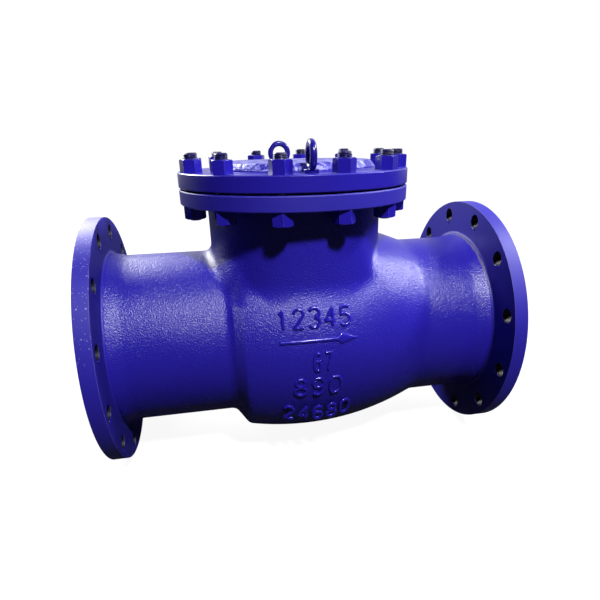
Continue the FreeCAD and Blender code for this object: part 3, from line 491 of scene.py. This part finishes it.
# The same enamel on the turned cover, whose raised middle is rough as cast and crusted, with a painted sheen
# in pale lavender on the crust's crests.
coverLook = {
    "padHeight": (0.001, 0.004),        # above the turned top
    "padReach": (0.153, 0.156),         # from the bonnet's axis
    "underside": (0.0035, 0.0045),      # above the cover's lowest point
    "pocketReach": (0.149, 0.150),      # the bare pocket inside, from the bonnet's axis
    "pocketHeight": (-0.012, -0.011),   # below the turned top
    "crustMm": 7,
    "crustDepth": 0.0036,
    # the crests of the crust that take the painted sheen, and how strongly
    "sheenLimits": (0.48, 0.60),
    "sheenShare": 0.7,
    "metallic": 0.8,
}


def enamelOnCover():
    material, tree = newMaterial("enamelOnCover")
    spot = spotOf(tree)
    place, fromBonnet = spot["place"], spot["fromBonnet"]
    aboveTop = calc(tree, "SUBTRACT", spot["z"], coverTop)
    aboveFoot = calc(tree, "SUBTRACT", spot["z"], coverLow.z)
    isPad = allOf(
        tree,
        rise(tree, aboveTop, coverLook["padHeight"]), fall(tree, fromBonnet, coverLook["padReach"]),
    )
    isPocket = allOf(
        tree,
        fall(tree, fromBonnet, coverLook["pocketReach"]), fall(tree, aboveTop, coverLook["pocketHeight"]),
    )
    isBare = anyOf(tree, fall(tree, aboveFoot, coverLook["underside"]), isPocket)
    crust = lumps(tree, place, coverLook["crustMm"], rough=0.65, distort=0.3)
    grain = lumps(tree, place, enamel["grainMm"], detail=1.0)
    peel = lumps(tree, place, enamel["peelMm"])
    # painted sheen: the pale lavender of the painted highlight laid on the raised middle's crust crests
    isPaintedSheen = allOf(tree, isPad, rise(tree, crust, coverLook["sheenLimits"]), coverLook["sheenShare"])
    # painted highlight in pale lavender along every arris, where the paint also lies thin
    isArrisHighlight = allOf(tree, arrisOf(tree, enamel["highlightMm"]), enamel["highlightShare"])
    colour = blendColour(tree, isPaintedSheen, enamelShade(tree, place), enamel["paintedHighlight"])
    colour = blendColour(tree, isArrisHighlight, colour, enamel["paintedHighlight"])
    colour = blendColour(tree, isBare, colour, bareMetal["cast"])
    normal = surfaceNormal(tree, enamel["arrisMm"] * mm, [
        (allOf(tree, peel, notOf(tree, isPad)), enamel["peelDepth"]),
        (allOf(tree, crust, isPad), coverLook["crustDepth"]),
        (allOf(tree, grain, isPad), enamel["grainDepth"]),
    ])
    finishMaterial(tree, {"IOR": enamel["ior"], "Roughness": enamel["roughness"]}, {
        "Base Color": colour, "Normal": normal, "Metallic": allOf(tree, isBare, coverLook["metallic"]),
    })
    return material


# Enamel on forged and sawn steel and on the raised marks: thick, dark in the hollows, with runs
# that soften every edge.
thickEnamel = {
    "enamelOnNuts": {"lift": enamel["blue"], "depth": 0.00012, "arrisMm": 0.9},
    "enamelOnForgedEyes": {"lift": "#1a1570", "depth": 0.00025, "arrisMm": 0.8},
    "enamelOnRaisedMarks": {"lift": enamel["blue"], "depth": 0.00025, "arrisMm": 0.5},
}


def enamelOnForging(name):
    look = thickEnamel[name]
    material, tree = newMaterial(name)
    place = placeOf(tree)
    shade = blendColour(tree, lumps(tree, place, 25, detail=3.0), enamel["deepBlue"], look["lift"])
    # painted highlight in pale lavender along every arris, where the paint also lies thin
    isArrisHighlight = allOf(tree, arrisOf(tree, 0.8), 0.35)
    shade = blendColour(tree, isArrisHighlight, shade, enamel["paintedHighlight"])
    normal = surfaceNormal(tree, look["arrisMm"] * mm, [
        (lumps(tree, place, 12, detail=1.0), look["depth"] * 3),
        (lumps(tree, place, 3.0), look["depth"]),
    ])
    finishMaterial(tree, {"IOR": enamel["ior"], "Roughness": 0.2}, {"Base Color": shade, "Normal": normal})
    return material


# Rolled studs of alloy steel, oiled dark, with blue enamel rubbed into the thread and worn off the crests.
def paintedStudSteel():
    material, tree = newMaterial("paintedStudSteel")
    place = placeOf(tree)
    isWorn = rise(tree, lumps(tree, place, 7, detail=4.0, rough=0.65), (0.52, 0.62))
    colour = blendColour(tree, isWorn, "#17144f", "#6d6f7c")
    normal = surfaceNormal(tree, 0.4 * mm, [(lumps(tree, place, 2.5, detail=3.0), 0.0004)])
    finishMaterial(tree, {"IOR": 1.5, "Roughness": 0.3}, {
        "Base Color": colour, "Normal": normal, "Metallic": allOf(tree, isWorn, 0.9),
    })
    return material


# Graphite sheet pressed between the two bonnet flanges: matt and almost black.
def graphiteSheet():
    material, tree = newMaterial("graphiteSheet")
    place = placeOf(tree)
    colour = blendColour(tree, lumps(tree, place, 5, detail=3.0), "#0c0c0e", "#1d1d20")
    normal = surfaceNormal(tree, 0.3 * mm, [(lumps(tree, place, 2.5), 0.0002)])
    finishMaterial(tree, {"Roughness": 0.6}, {"Base Color": colour, "Normal": normal})
    return material


# Bare cast carbon steel, shot-blasted: grey and grainy, as the inside pieces are left.
def blastedCastSteel():
    material, tree = newMaterial("blastedCastSteel")
    place = placeOf(tree)
    colour = blendColour(tree, lumps(tree, place, 18, detail=5.0, rough=0.6), "#55534f", "#7a7873")
    normal = surfaceNormal(tree, 0.8 * mm, [
        (lumps(tree, place, 14, detail=1.0), 0.0006),
        (lumps(tree, place, 2.2), 0.0005),
    ])
    roughness = calc(tree, "MULTIPLY_ADD", lumps(tree, place, 9), 0.2, 0.42)
    finishMaterial(tree, {"Metallic": 0.9}, {"Base Color": colour, "Normal": normal, "Roughness": roughness})
    return material


# Metal turned on a lathe, with fine tool rings about the piece's own axis under an uneven film of
# oil: bright stainless on the seat and the disc's fasteners, greyer on the hinge's pin, cold and
# pale where the screws are zinc-plated, warm yellow on the bronze bushes.
turned = {
    "turnedSeatSteel": {"axis": "X", "centre": (0, 0, 0), "tones": ("#a9a7a1", "#c9c7c0")},
    "turnedPinSteel": {"axis": "Y", "centre": hingePlace, "tones": ("#8d8c88", "#b9b7b1")},
    "zincOnSteelScrews": {"axis": "Z", "centre": (0.247, 0, 0), "tones": ("#8d8f92", "#b4b6b8")},
    "turnedBronze": {"axis": "Y", "centre": hingePlace, "tones": ("#8f6a34", "#b98d4a")},
}
toolMark = {
    "spacingMm": 3.2,       # drawn about ten times as coarse as a real feed, to show at this size
    "depth": 0.00006,
    "distort": 0.4,
}


def turnedMetal(name):
    look = turned[name]
    material, tree = newMaterial(name)
    place = placeOf(tree)
    fromCentre = vectorCalc(tree, "SUBTRACT", place, look["centre"])
    rings = toolRings(tree, fromCentre, look["axis"], toolMark["spacingMm"], toolMark["distort"])
    film = lumps(tree, place, 16, detail=4.0)
    colour = blendColour(tree, film, *look["tones"])
    roughness = calc(tree, "MULTIPLY_ADD", film, 0.16, 0.2)
    normal = surfaceNormal(tree, 0.5 * mm, [(rings, toolMark["depth"])])
    finishMaterial(tree, {"Metallic": 1.0}, {"Base Color": colour, "Normal": normal, "Roughness": roughness})
    return material


nutEnamel = enamelOnForging("enamelOnNuts")
eyeEnamel = enamelOnForging("enamelOnForgedEyes")
markEnamel = enamelOnForging("enamelOnRaisedMarks")
studSteel = paintedStudSteel()
castSteel = blastedCastSteel()
seatSteel = turnedMetal("turnedSeatSteel")
pinSteel = turnedMetal("turnedPinSteel")
screwSteel = turnedMetal("zincOnSteelScrews")

nodeMaterials = {
    "valve_body": enamelOnSandCasting(),
    "bonnet_cover": enamelOnCover(),
    "bonnet_gasket": graphiteSheet(),
    "cover_studs": studSteel,
    "upper_nuts": nutEnamel,
    "lower_nuts": nutEnamel,
    "lifting_eye_front": eyeEnamel,
    "lifting_eye_rear": eyeEnamel,
    "seat_ring": seatSteel,
    "hinge_bracket": castSteel,
    "swing_arm": castSteel,
    "flap_disc": castSteel,
    "bracket_screws": screwSteel,
    "bracket_lock_washers": screwSteel,
    "hinge_pin": pinSteel,
    "hinge_pin_washer": pinSteel,
    "hinge_split_pin": pinSteel,
    "hinge_bushes": turnedMetal("turnedBronze"),
    "disc_washer": seatSteel,
    "disc_nut": seatSteel,
    "disc_split_pin": seatSteel,
}


def giveMaterial(piece, material):
    piece.data.materials.clear()
    piece.data.materials.append(material)


for nodeName, material in nodeMaterials.items():
    giveMaterial(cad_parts[nodeName], material)
print("materials:", len(nodeMaterials), "nodes dressed")


# Skins a row of rings, each a closed loop of as many points as the next, and caps both its ends.
def skinRings(mesh, rings):
    for first, second in zip(rings, rings[1:]):
        for k in range(len(first)):
            after = (k + 1) % len(first)
            mesh.faces.new((first[k], first[after], second[after], second[k]))
    mesh.faces.new(rings[0][::-1])
    mesh.faces.new(rings[-1])


# Every added piece rides on the valve's body.
def newPiece(name, mesh, material):
    bmesh.ops.recalc_face_normals(mesh, faces=mesh.faces)
    data = bpy.data.meshes.new(name)
    mesh.to_mesh(data)
    mesh.free()
    piece = bpy.data.objects.new(name, data)
    scene.collection.objects.link(piece)
    giveMaterial(piece, material)
    data.shade_smooth()
    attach(piece, "valve")
    return piece


# Threaded studs: a rolled metric thread at both ends, plain inside the flanges, each cut and
# screwed in by hand.
studs = {
    "count": 12,
    "circleRadius": 188 * mm,
    "radius": 11 * mm,
    "threadDepth": 1.5 * mm,
    "threadFlank": 2.4,     # how steeply the groove's sides rise
    "pitch": 2.5 * mm,
    "tipChamfer": 2.2 * mm,
    "topThread": 17 * mm,
    "bottomThread": 8 * mm,
    "sides": 28,
    "ringsPerPitch": 6,
    "sharpDeg": 38,
    "unevenness": 1.2 * mm,
}


def addThreadedBar(mesh, centre, low, high, startTurn):
    step = studs["pitch"] / studs["ringsPerPitch"]
    levels = [low + k * step for k in range(int(studs["bottomThread"] / step))]
    levels += [high - k * step for k in range(int(studs["topThread"] / step), 0, -1)] + [high]
    rings = []
    for level in levels:
        fromEnd = min(level - low, high - level)
        ring = []
        for side in range(studs["sides"]):
            turn = 2 * math.pi * side / studs["sides"]
            phase = ((level - low) / studs["pitch"] - (turn + startTurn) / (2 * math.pi)) % 1.0
            groove = max(0.0, 1 - abs(phase - 0.5) * studs["threadFlank"])
            radius = studs["radius"] - studs["threadDepth"] * groove
            radius = min(radius, studs["radius"] - studs["tipChamfer"] + fromEnd)
            point = (centre.x + radius * math.cos(turn), centre.y + radius * math.sin(turn), level)
            ring.append(mesh.verts.new(point))
        rings.append(ring)
    skinRings(mesh, rings)


def makeThreadedStuds():
    draw = random.Random(4)
    mesh = bmesh.new()
    circle = studs["circleRadius"]
    for k in range(studs["count"]):
        turn = math.radians((k + 0.5) * 360 / studs["count"])
        centre = Vector((bonnetX + circle * math.cos(turn), circle * math.sin(turn), 0))
        drop = draw.uniform(0, studs["unevenness"])
        addThreadedBar(mesh, centre, studLow.z + drop, studHigh.z - drop, draw.uniform(0, 2 * math.pi))
    piece = newPiece("threaded_studs", mesh, studSteel)
    piece.data.set_sharp_from_angle(angle=math.radians(studs["sharpDeg"]))
    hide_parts("cover_studs")


makeThreadedStuds()
print("studs: threaded")


# A mark's point on the belly, given along X, up round the belly and out of it.
def onBelly(x, up, out):
    along = x - belly["centreX"]
    drop = belly["crownCurve"] - belly["crownRadius"]
    crown = math.sqrt(belly["crownCurve"] ** 2 - along ** 2) - drop
    turn = up / belly["crownRadius"]
    globe = crown
    for k in range(12):     # the globe's radius here depends on its own height, so it's neared in steps
        level = globe * math.sin(turn)
        reach = belly["globeRadius"] - belly["globeCurve"] + math.sqrt(belly["globeCurve"] ** 2 - level ** 2)
        globe = math.sqrt(max(reach ** 2 - along ** 2, 0)) / math.cos(turn)
    radius = max(crown, globe) + out
    return Vector((x, -radius * math.cos(turn), radius * math.sin(turn)))


# Rows of raised numbers, plain counting ones, cast proud of the belly and rounded by the paint.
castNumbers = {
    "rows": [
        {"digits": "12345", "x": 372, "up": 79, "tall": 31, "wide": 124},
        {"digits": "67", "x": 384, "up": 3, "tall": 32, "wide": 31},
        {"digits": "890", "x": 376, "up": -46, "tall": 34, "wide": 82},
        {"digits": "24680", "x": 377, "up": -105, "tall": 30, "wide": 120},
    ],
    "gap": 0.55,           # between digits, as a share of a digit's width
    "stroke": 6.2,         # mm, the width of a raised line
    "height": 3.0,         # mm, how far the line stands out
    "sink": 1.2,           # mm, how far its root reaches into the casting
    "voxel": 1.3,          # mm
    "softening": 0.5,
    "softenings": 3,
}

# Each digit as strokes between points on a grid 2 wide and 4 tall.
digitStrokes = {
    "0": [[(0, 1), (0, 3), (0.5, 4), (1.5, 4), (2, 3), (2, 1), (1.5, 0), (0.5, 0), (0, 1)]],
    "1": [[(0.4, 3.1), (1.1, 4), (1.1, 0)]],
    "2": [[(0, 3.1), (0.4, 3.8), (1, 4), (1.7, 3.7), (2, 3), (1.7, 2.2), (0, 0), (2, 0)]],
    "3": [[(0, 3.4), (0.5, 4), (1.4, 4), (2, 3.3), (1.9, 2.5), (1, 2.1)],
          [(1, 2.1), (1.9, 1.7), (2, 0.8), (1.4, 0), (0.5, 0), (0, 0.6)]],
    "4": [[(1.5, 0), (1.5, 4), (0, 1.2), (2, 1.2)]],
    "5": [[(1.9, 4), (0.2, 4), (0.1, 2.3), (1.2, 2.5), (2, 1.8), (1.9, 0.7), (1.2, 0), (0.4, 0), (0, 0.5)]],
    "6": [[(1.8, 3.5), (1.2, 4), (0.5, 3.7), (0, 2.6), (0, 1), (0.5, 0), (1.5, 0), (2, 1), (1.6, 2.1),
           (0.7, 2.2), (0, 1.4)]],
    "7": [[(0, 4), (2, 4), (0.8, 0)]],
    "8": [[(1, 2.1), (0.2, 2.7), (0.2, 3.5), (0.7, 4), (1.3, 4), (1.8, 3.5), (1.8, 2.7), (1, 2.1)],
          [(1, 2.1), (0, 1.5), (0, 0.6), (0.6, 0), (1.4, 0), (2, 0.6), (2, 1.5), (1, 2.1)]],
    "9": [[(0.2, 0.5), (0.8, 0), (1.5, 0.3), (2, 1.4), (2, 3), (1.5, 4), (0.5, 4), (0, 3), (0.4, 1.9),
           (1.3, 1.8), (2, 2.6)]],
}

# How a raised line is built: the sides of its half-round, the step along it, and how blunt its top is.
raisedLine = {"sides": 10, "stepMm": 1.5, "bluntness": 0.7}


# Points (x, up, width) in millimetres, no more than a step apart, along a line through the given ones.
def finePath(points, widths):
    path = []
    for (start, startWidth), (end, endWidth) in zip(zip(points, widths), zip(points[1:], widths[1:])):
        count = max(1, round(math.dist(start, end) / raisedLine["stepMm"]))
        for k in range(count):
            share = k / count
            path.append((start[0] + (end[0] - start[0]) * share, start[1] + (end[1] - start[1]) * share,
                         startWidth + (endWidth - startWidth) * share))
    path.append((points[-1][0], points[-1][1], widths[-1]))
    return path


# A raised line through points (x, up) in millimetres: half-round above the belly, its root below it.
def addRaisedLine(mesh, points, widths, height, sink):
    path = finePath(points, widths)
    sides = raisedLine["sides"]
    rings = []
    for index, (x, up, width) in enumerate(path):
        before, after = path[max(index - 1, 0)], path[min(index + 1, len(path) - 1)]
        along = Vector((after[0] - before[0], after[1] - before[1]))
        along.normalize()
        side = Vector((-along.y, along.x))
        ring = []
        for k in range(sides + 1):
            turn = math.pi * k / sides
            across = math.cos(turn) * width / 2
            out = -sink + (height + sink) * math.sin(turn) ** raisedLine["bluntness"]
            point = onBelly((x + side.x * across) * mm, (up + side.y * across) * mm, out * mm)
            ring.append(mesh.verts.new(point))
        rings.append(ring)
    skinRings(mesh, rings)


def makeCastNumbers():
    mesh = bmesh.new()
    height, sink, gap = castNumbers["height"], castNumbers["sink"], castNumbers["gap"]
    for row in castNumbers["rows"]:
        count = len(row["digits"])
        digitWide = row["wide"] / (count + (count - 1) * gap)
        bottom = row["up"] - row["tall"] / 2
        for place, digit in enumerate(row["digits"]):
            left = row["x"] - row["wide"] / 2 + place * digitWide * (1 + gap)
            for stroke in digitStrokes[digit]:
                points = [(left + px / 2 * digitWide, bottom + py / 4 * row["tall"]) for px, py in stroke]
                addRaisedLine(mesh, points, [castNumbers["stroke"]] * len(points), height, sink)
    piece = newPiece("cast_numbers", mesh, markEnamel)
    remesh = piece.modifiers.new("oneSkin", "REMESH")
    remesh.mode = "VOXEL"
    remesh.voxel_size = castNumbers["voxel"] * mm
    remesh.use_smooth_shade = True
    soften = piece.modifiers.new("paintRounding", "SMOOTH")
    soften.factor = castNumbers["softening"]
    soften.iterations = castNumbers["softenings"]


makeCastNumbers()


# The flow arrow: a slim raised bar that ends in a flat diamond head.
flowArrow = {
    "tail": 312, "neck": 412, "tip": 444,       # mm along the pipe
    "headBack": 408, "headWidest": 417,
    "up": 41,                                   # mm round the belly from its front line
    "barWidth": 7, "headRoot": 5.6, "headWidth": 22, "tipWidth": 1.5,
    "height": 2.8, "sink": 1.0,
}


def makeFlowArrow():
    mesh = bmesh.new()
    for placeNames, widthNames in (
        (("tail", "neck"), ("barWidth", "barWidth")),
        (("headBack", "headWidest", "tip"), ("headRoot", "headWidth", "tipWidth")),
    ):
        points = [(flowArrow[name], flowArrow["up"]) for name in placeNames]
        widths = [flowArrow[name] for name in widthNames]
        addRaisedLine(mesh, points, widths, flowArrow["height"], flowArrow["sink"])
    newPiece("flow_arrow", mesh, markEnamel)


makeFlowArrow()
print("belly: numbers and arrow raised")


# Paint that gathered and set: a bead at the lower lip of every flange hole, with a short run below it.
paintRuns = {
    "fromEnd": 28 * mm,     # the back of either end flange
    "beadRadius": 1.5 * mm,
    "sides": 8,
    "flatness": 0.6,
    "spanDeg": 55,
    "spanShares": (0.6, 1.0),
    "lean": 0.3,            # radians, to either side
    "lipSteps": 10,
    "lipEnd": 0.15,         # the bead's thickness where it thins out, as a share of its radius
    "lipSwell": 0.8,
    "longestRun": 9 * mm,
    "runShares": (0.2, 1.0),
    "runSwell": [0.5, 0.55, 0.6, 0.75, 0.8, 0.2],   # thickness down the run, likewise
}


def addBead(mesh, points, radii):
    rings = []
    sides = paintRuns["sides"]
    for index, (point, radius) in enumerate(zip(points, radii)):
        along = (points[min(index + 1, len(points) - 1)] - points[max(index - 1, 0)]).normalized()
        across = along.cross(Vector((1, 0, 0))).normalized()
        out = along.cross(across) * paintRuns["flatness"]
        turns = [2 * math.pi * k / sides for k in range(sides)]
        rings.append([
            mesh.verts.new(point + (across * math.cos(turn) + out * math.sin(turn)) * radius)
            for turn in turns
        ])
    skinRings(mesh, rings)


def makePaintRuns(name, faceX):
    draw = random.Random(name)
    mesh = bmesh.new()
    circle, bead, steps = flangeHoles["circle"], paintRuns["beadRadius"], paintRuns["lipSteps"]
    reach = flangeHoles["radius"] + bead * 0.5
    for k in range(flangeHoles["count"]):
        turn = math.radians((k + 0.5) * 360 / flangeHoles["count"])
        centre = Vector((faceX, circle * math.sin(turn), circle * math.cos(turn)))
        span = math.radians(paintRuns["spanDeg"] * draw.uniform(*paintRuns["spanShares"]))
        lean = draw.uniform(-paintRuns["lean"], paintRuns["lean"])
        lip, radii = [], []
        for step in range(steps + 1):
            share = step / steps * 2 - 1
            angle = share * span + lean
            swell = math.cos(share * math.pi / 2) ** paintRuns["lipSwell"]
            lip.append(centre + Vector((0, reach * math.sin(angle), -reach * math.cos(angle))))
            radii.append(bead * (paintRuns["lipEnd"] + (1 - paintRuns["lipEnd"]) * swell))
        addBead(mesh, lip, radii)
        run = draw.uniform(*paintRuns["runShares"]) * paintRuns["longestRun"]
        last = len(paintRuns["runSwell"]) - 1
        tear = [lip[steps // 2] + Vector((0, 0, -run * step / last)) for step in range(last + 1)]
        addBead(mesh, tear, [bead * share for share in paintRuns["runSwell"]])
    newPiece(name, mesh, nutEnamel)


makePaintRuns("paint_beads_inlet", paintRuns["fromEnd"])
makePaintRuns("paint_beads_outlet", valveLength - paintRuns["fromEnd"])
print("flanges: paint beads set")


# Stage: a pale floor that keeps the shadow, plain studio lamps and a white surround at the back.
studio = {
    "lamps": {
        "key": {"turnDeg": 11.3, "upDeg": 47, "distance": 3.0, "size": 0.3, "watts": 118},
        "fill": {"turnDeg": 90, "upDeg": 38, "distance": 3.0, "size": 0.5, "watts": 92},
        "back": {"turnDeg": -145, "upDeg": 34, "distance": 3.2, "size": 1.5, "watts": 132},
    },
    "aimHeight": 0.1,
    "surround": 0.012,
    "backGlow": 0.75,
    "backLimits": (0.1, 0.75),      # how far to the rear a direction points
    "floorSize": 16,
    "floorGlow": 0.93,              # near the valve; further off the floor is plain white
    "floorWhite": (0.7, 1.6),       # metres from the floor's middle
    "floorTone": "#606062",
    "floorThrown": "#37373a",       # darker, to the light that the floor throws back
}
white = (1, 1, 1, 1)


def makeLamp(name, turnDeg, upDeg, distance, size, watts):
    turn, up = math.radians(turnDeg), math.radians(upDeg)
    away = Vector((math.sin(turn) * math.cos(up), -math.cos(turn) * math.cos(up), math.sin(up)))
    data = bpy.data.lights.new(name, "AREA")
    data.shape = "DISK"
    data.size = size
    data.energy = watts
    lamp = bpy.data.objects.new(name, data)
    scene.collection.objects.link(lamp)
    lamp.location = Vector((bonnetX, 0, studio["aimHeight"])) + away * distance
    lamp.rotation_euler = away.to_track_quat("Z", "Y").to_euler()


# White to the camera; to the paint a dim surround that brightens toward the rear.
def makeSurround():
    world = bpy.data.worlds.new("paleStudio")
    scene.world = world
    world.use_nodes = True
    tree = world.node_tree
    tree.nodes.clear()
    ray = addNode(tree, "ShaderNodeLightPath").outputs
    direction = addNode(tree, "ShaderNodeTexCoord").outputs["Generated"]
    toward = addNode(tree, "ShaderNodeSeparateXYZ", links={0: direction}).outputs
    back = rise(tree, toward[1], studio["backLimits"])
    glow = calc(tree, "MULTIPLY_ADD", back, studio["backGlow"] - studio["surround"], studio["surround"])
    isSeen = anyOf(tree, ray["Is Camera Ray"], ray["Is Transmission Ray"])
    shiny = allOf(tree, ray["Is Glossy Ray"], glow)
    plain = allOf(tree, notOf(tree, ray["Is Glossy Ray"]), studio["surround"])
    other = allOf(tree, calc(tree, "ADD", shiny, plain), notOf(tree, isSeen))
    strength = calc(tree, "ADD", isSeen, other)
    sky = addNode(tree, "ShaderNodeBackground", {"Color": white}, {"Strength": strength})
    addNode(tree, "ShaderNodeOutputWorld", links={"Surface": sky.outputs[0]})


# Painted studio floor: white to the camera, darker to the light that it throws back.
def makeFloor():
    middle = (valveLength / 2, 0, floorHeight)
    bpy.ops.mesh.primitive_grid_add(
        size=studio["floorSize"], x_subdivisions=4, y_subdivisions=4, location=middle
    )
    floor = bpy.context.object
    floor.name = "studio_floor"
    material, tree = newMaterial("paleStudioFloor")
    ray = addNode(tree, "ShaderNodeLightPath").outputs
    far = rise(tree, vectorCalc(tree, "LENGTH", placeOf(tree)), studio["floorWhite"])
    glow = calc(tree, "MULTIPLY_ADD", far, 1 - studio["floorGlow"], studio["floorGlow"])
    tint = blendColour(tree, ray["Is Camera Ray"], studio["floorThrown"], studio["floorTone"])
    matt = addNode(tree, "ShaderNodeBsdfDiffuse", links={"Color": tint})
    lift = addNode(tree, "ShaderNodeEmission", {"Color": white},
                   {"Strength": allOf(tree, ray["Is Camera Ray"], glow)})
    both = addNode(tree, "ShaderNodeAddShader", links={0: matt.outputs[0], 1: lift.outputs[0]})
    addNode(tree, "ShaderNodeOutputMaterial", links={"Surface": both.outputs[0]})
    giveMaterial(floor, material)


for lampName, lamp in studio["lamps"].items():
    makeLamp(lampName + "Lamp", **lamp)
makeSurround()
makeFloor()
print("stage: floor, lamps and surround")
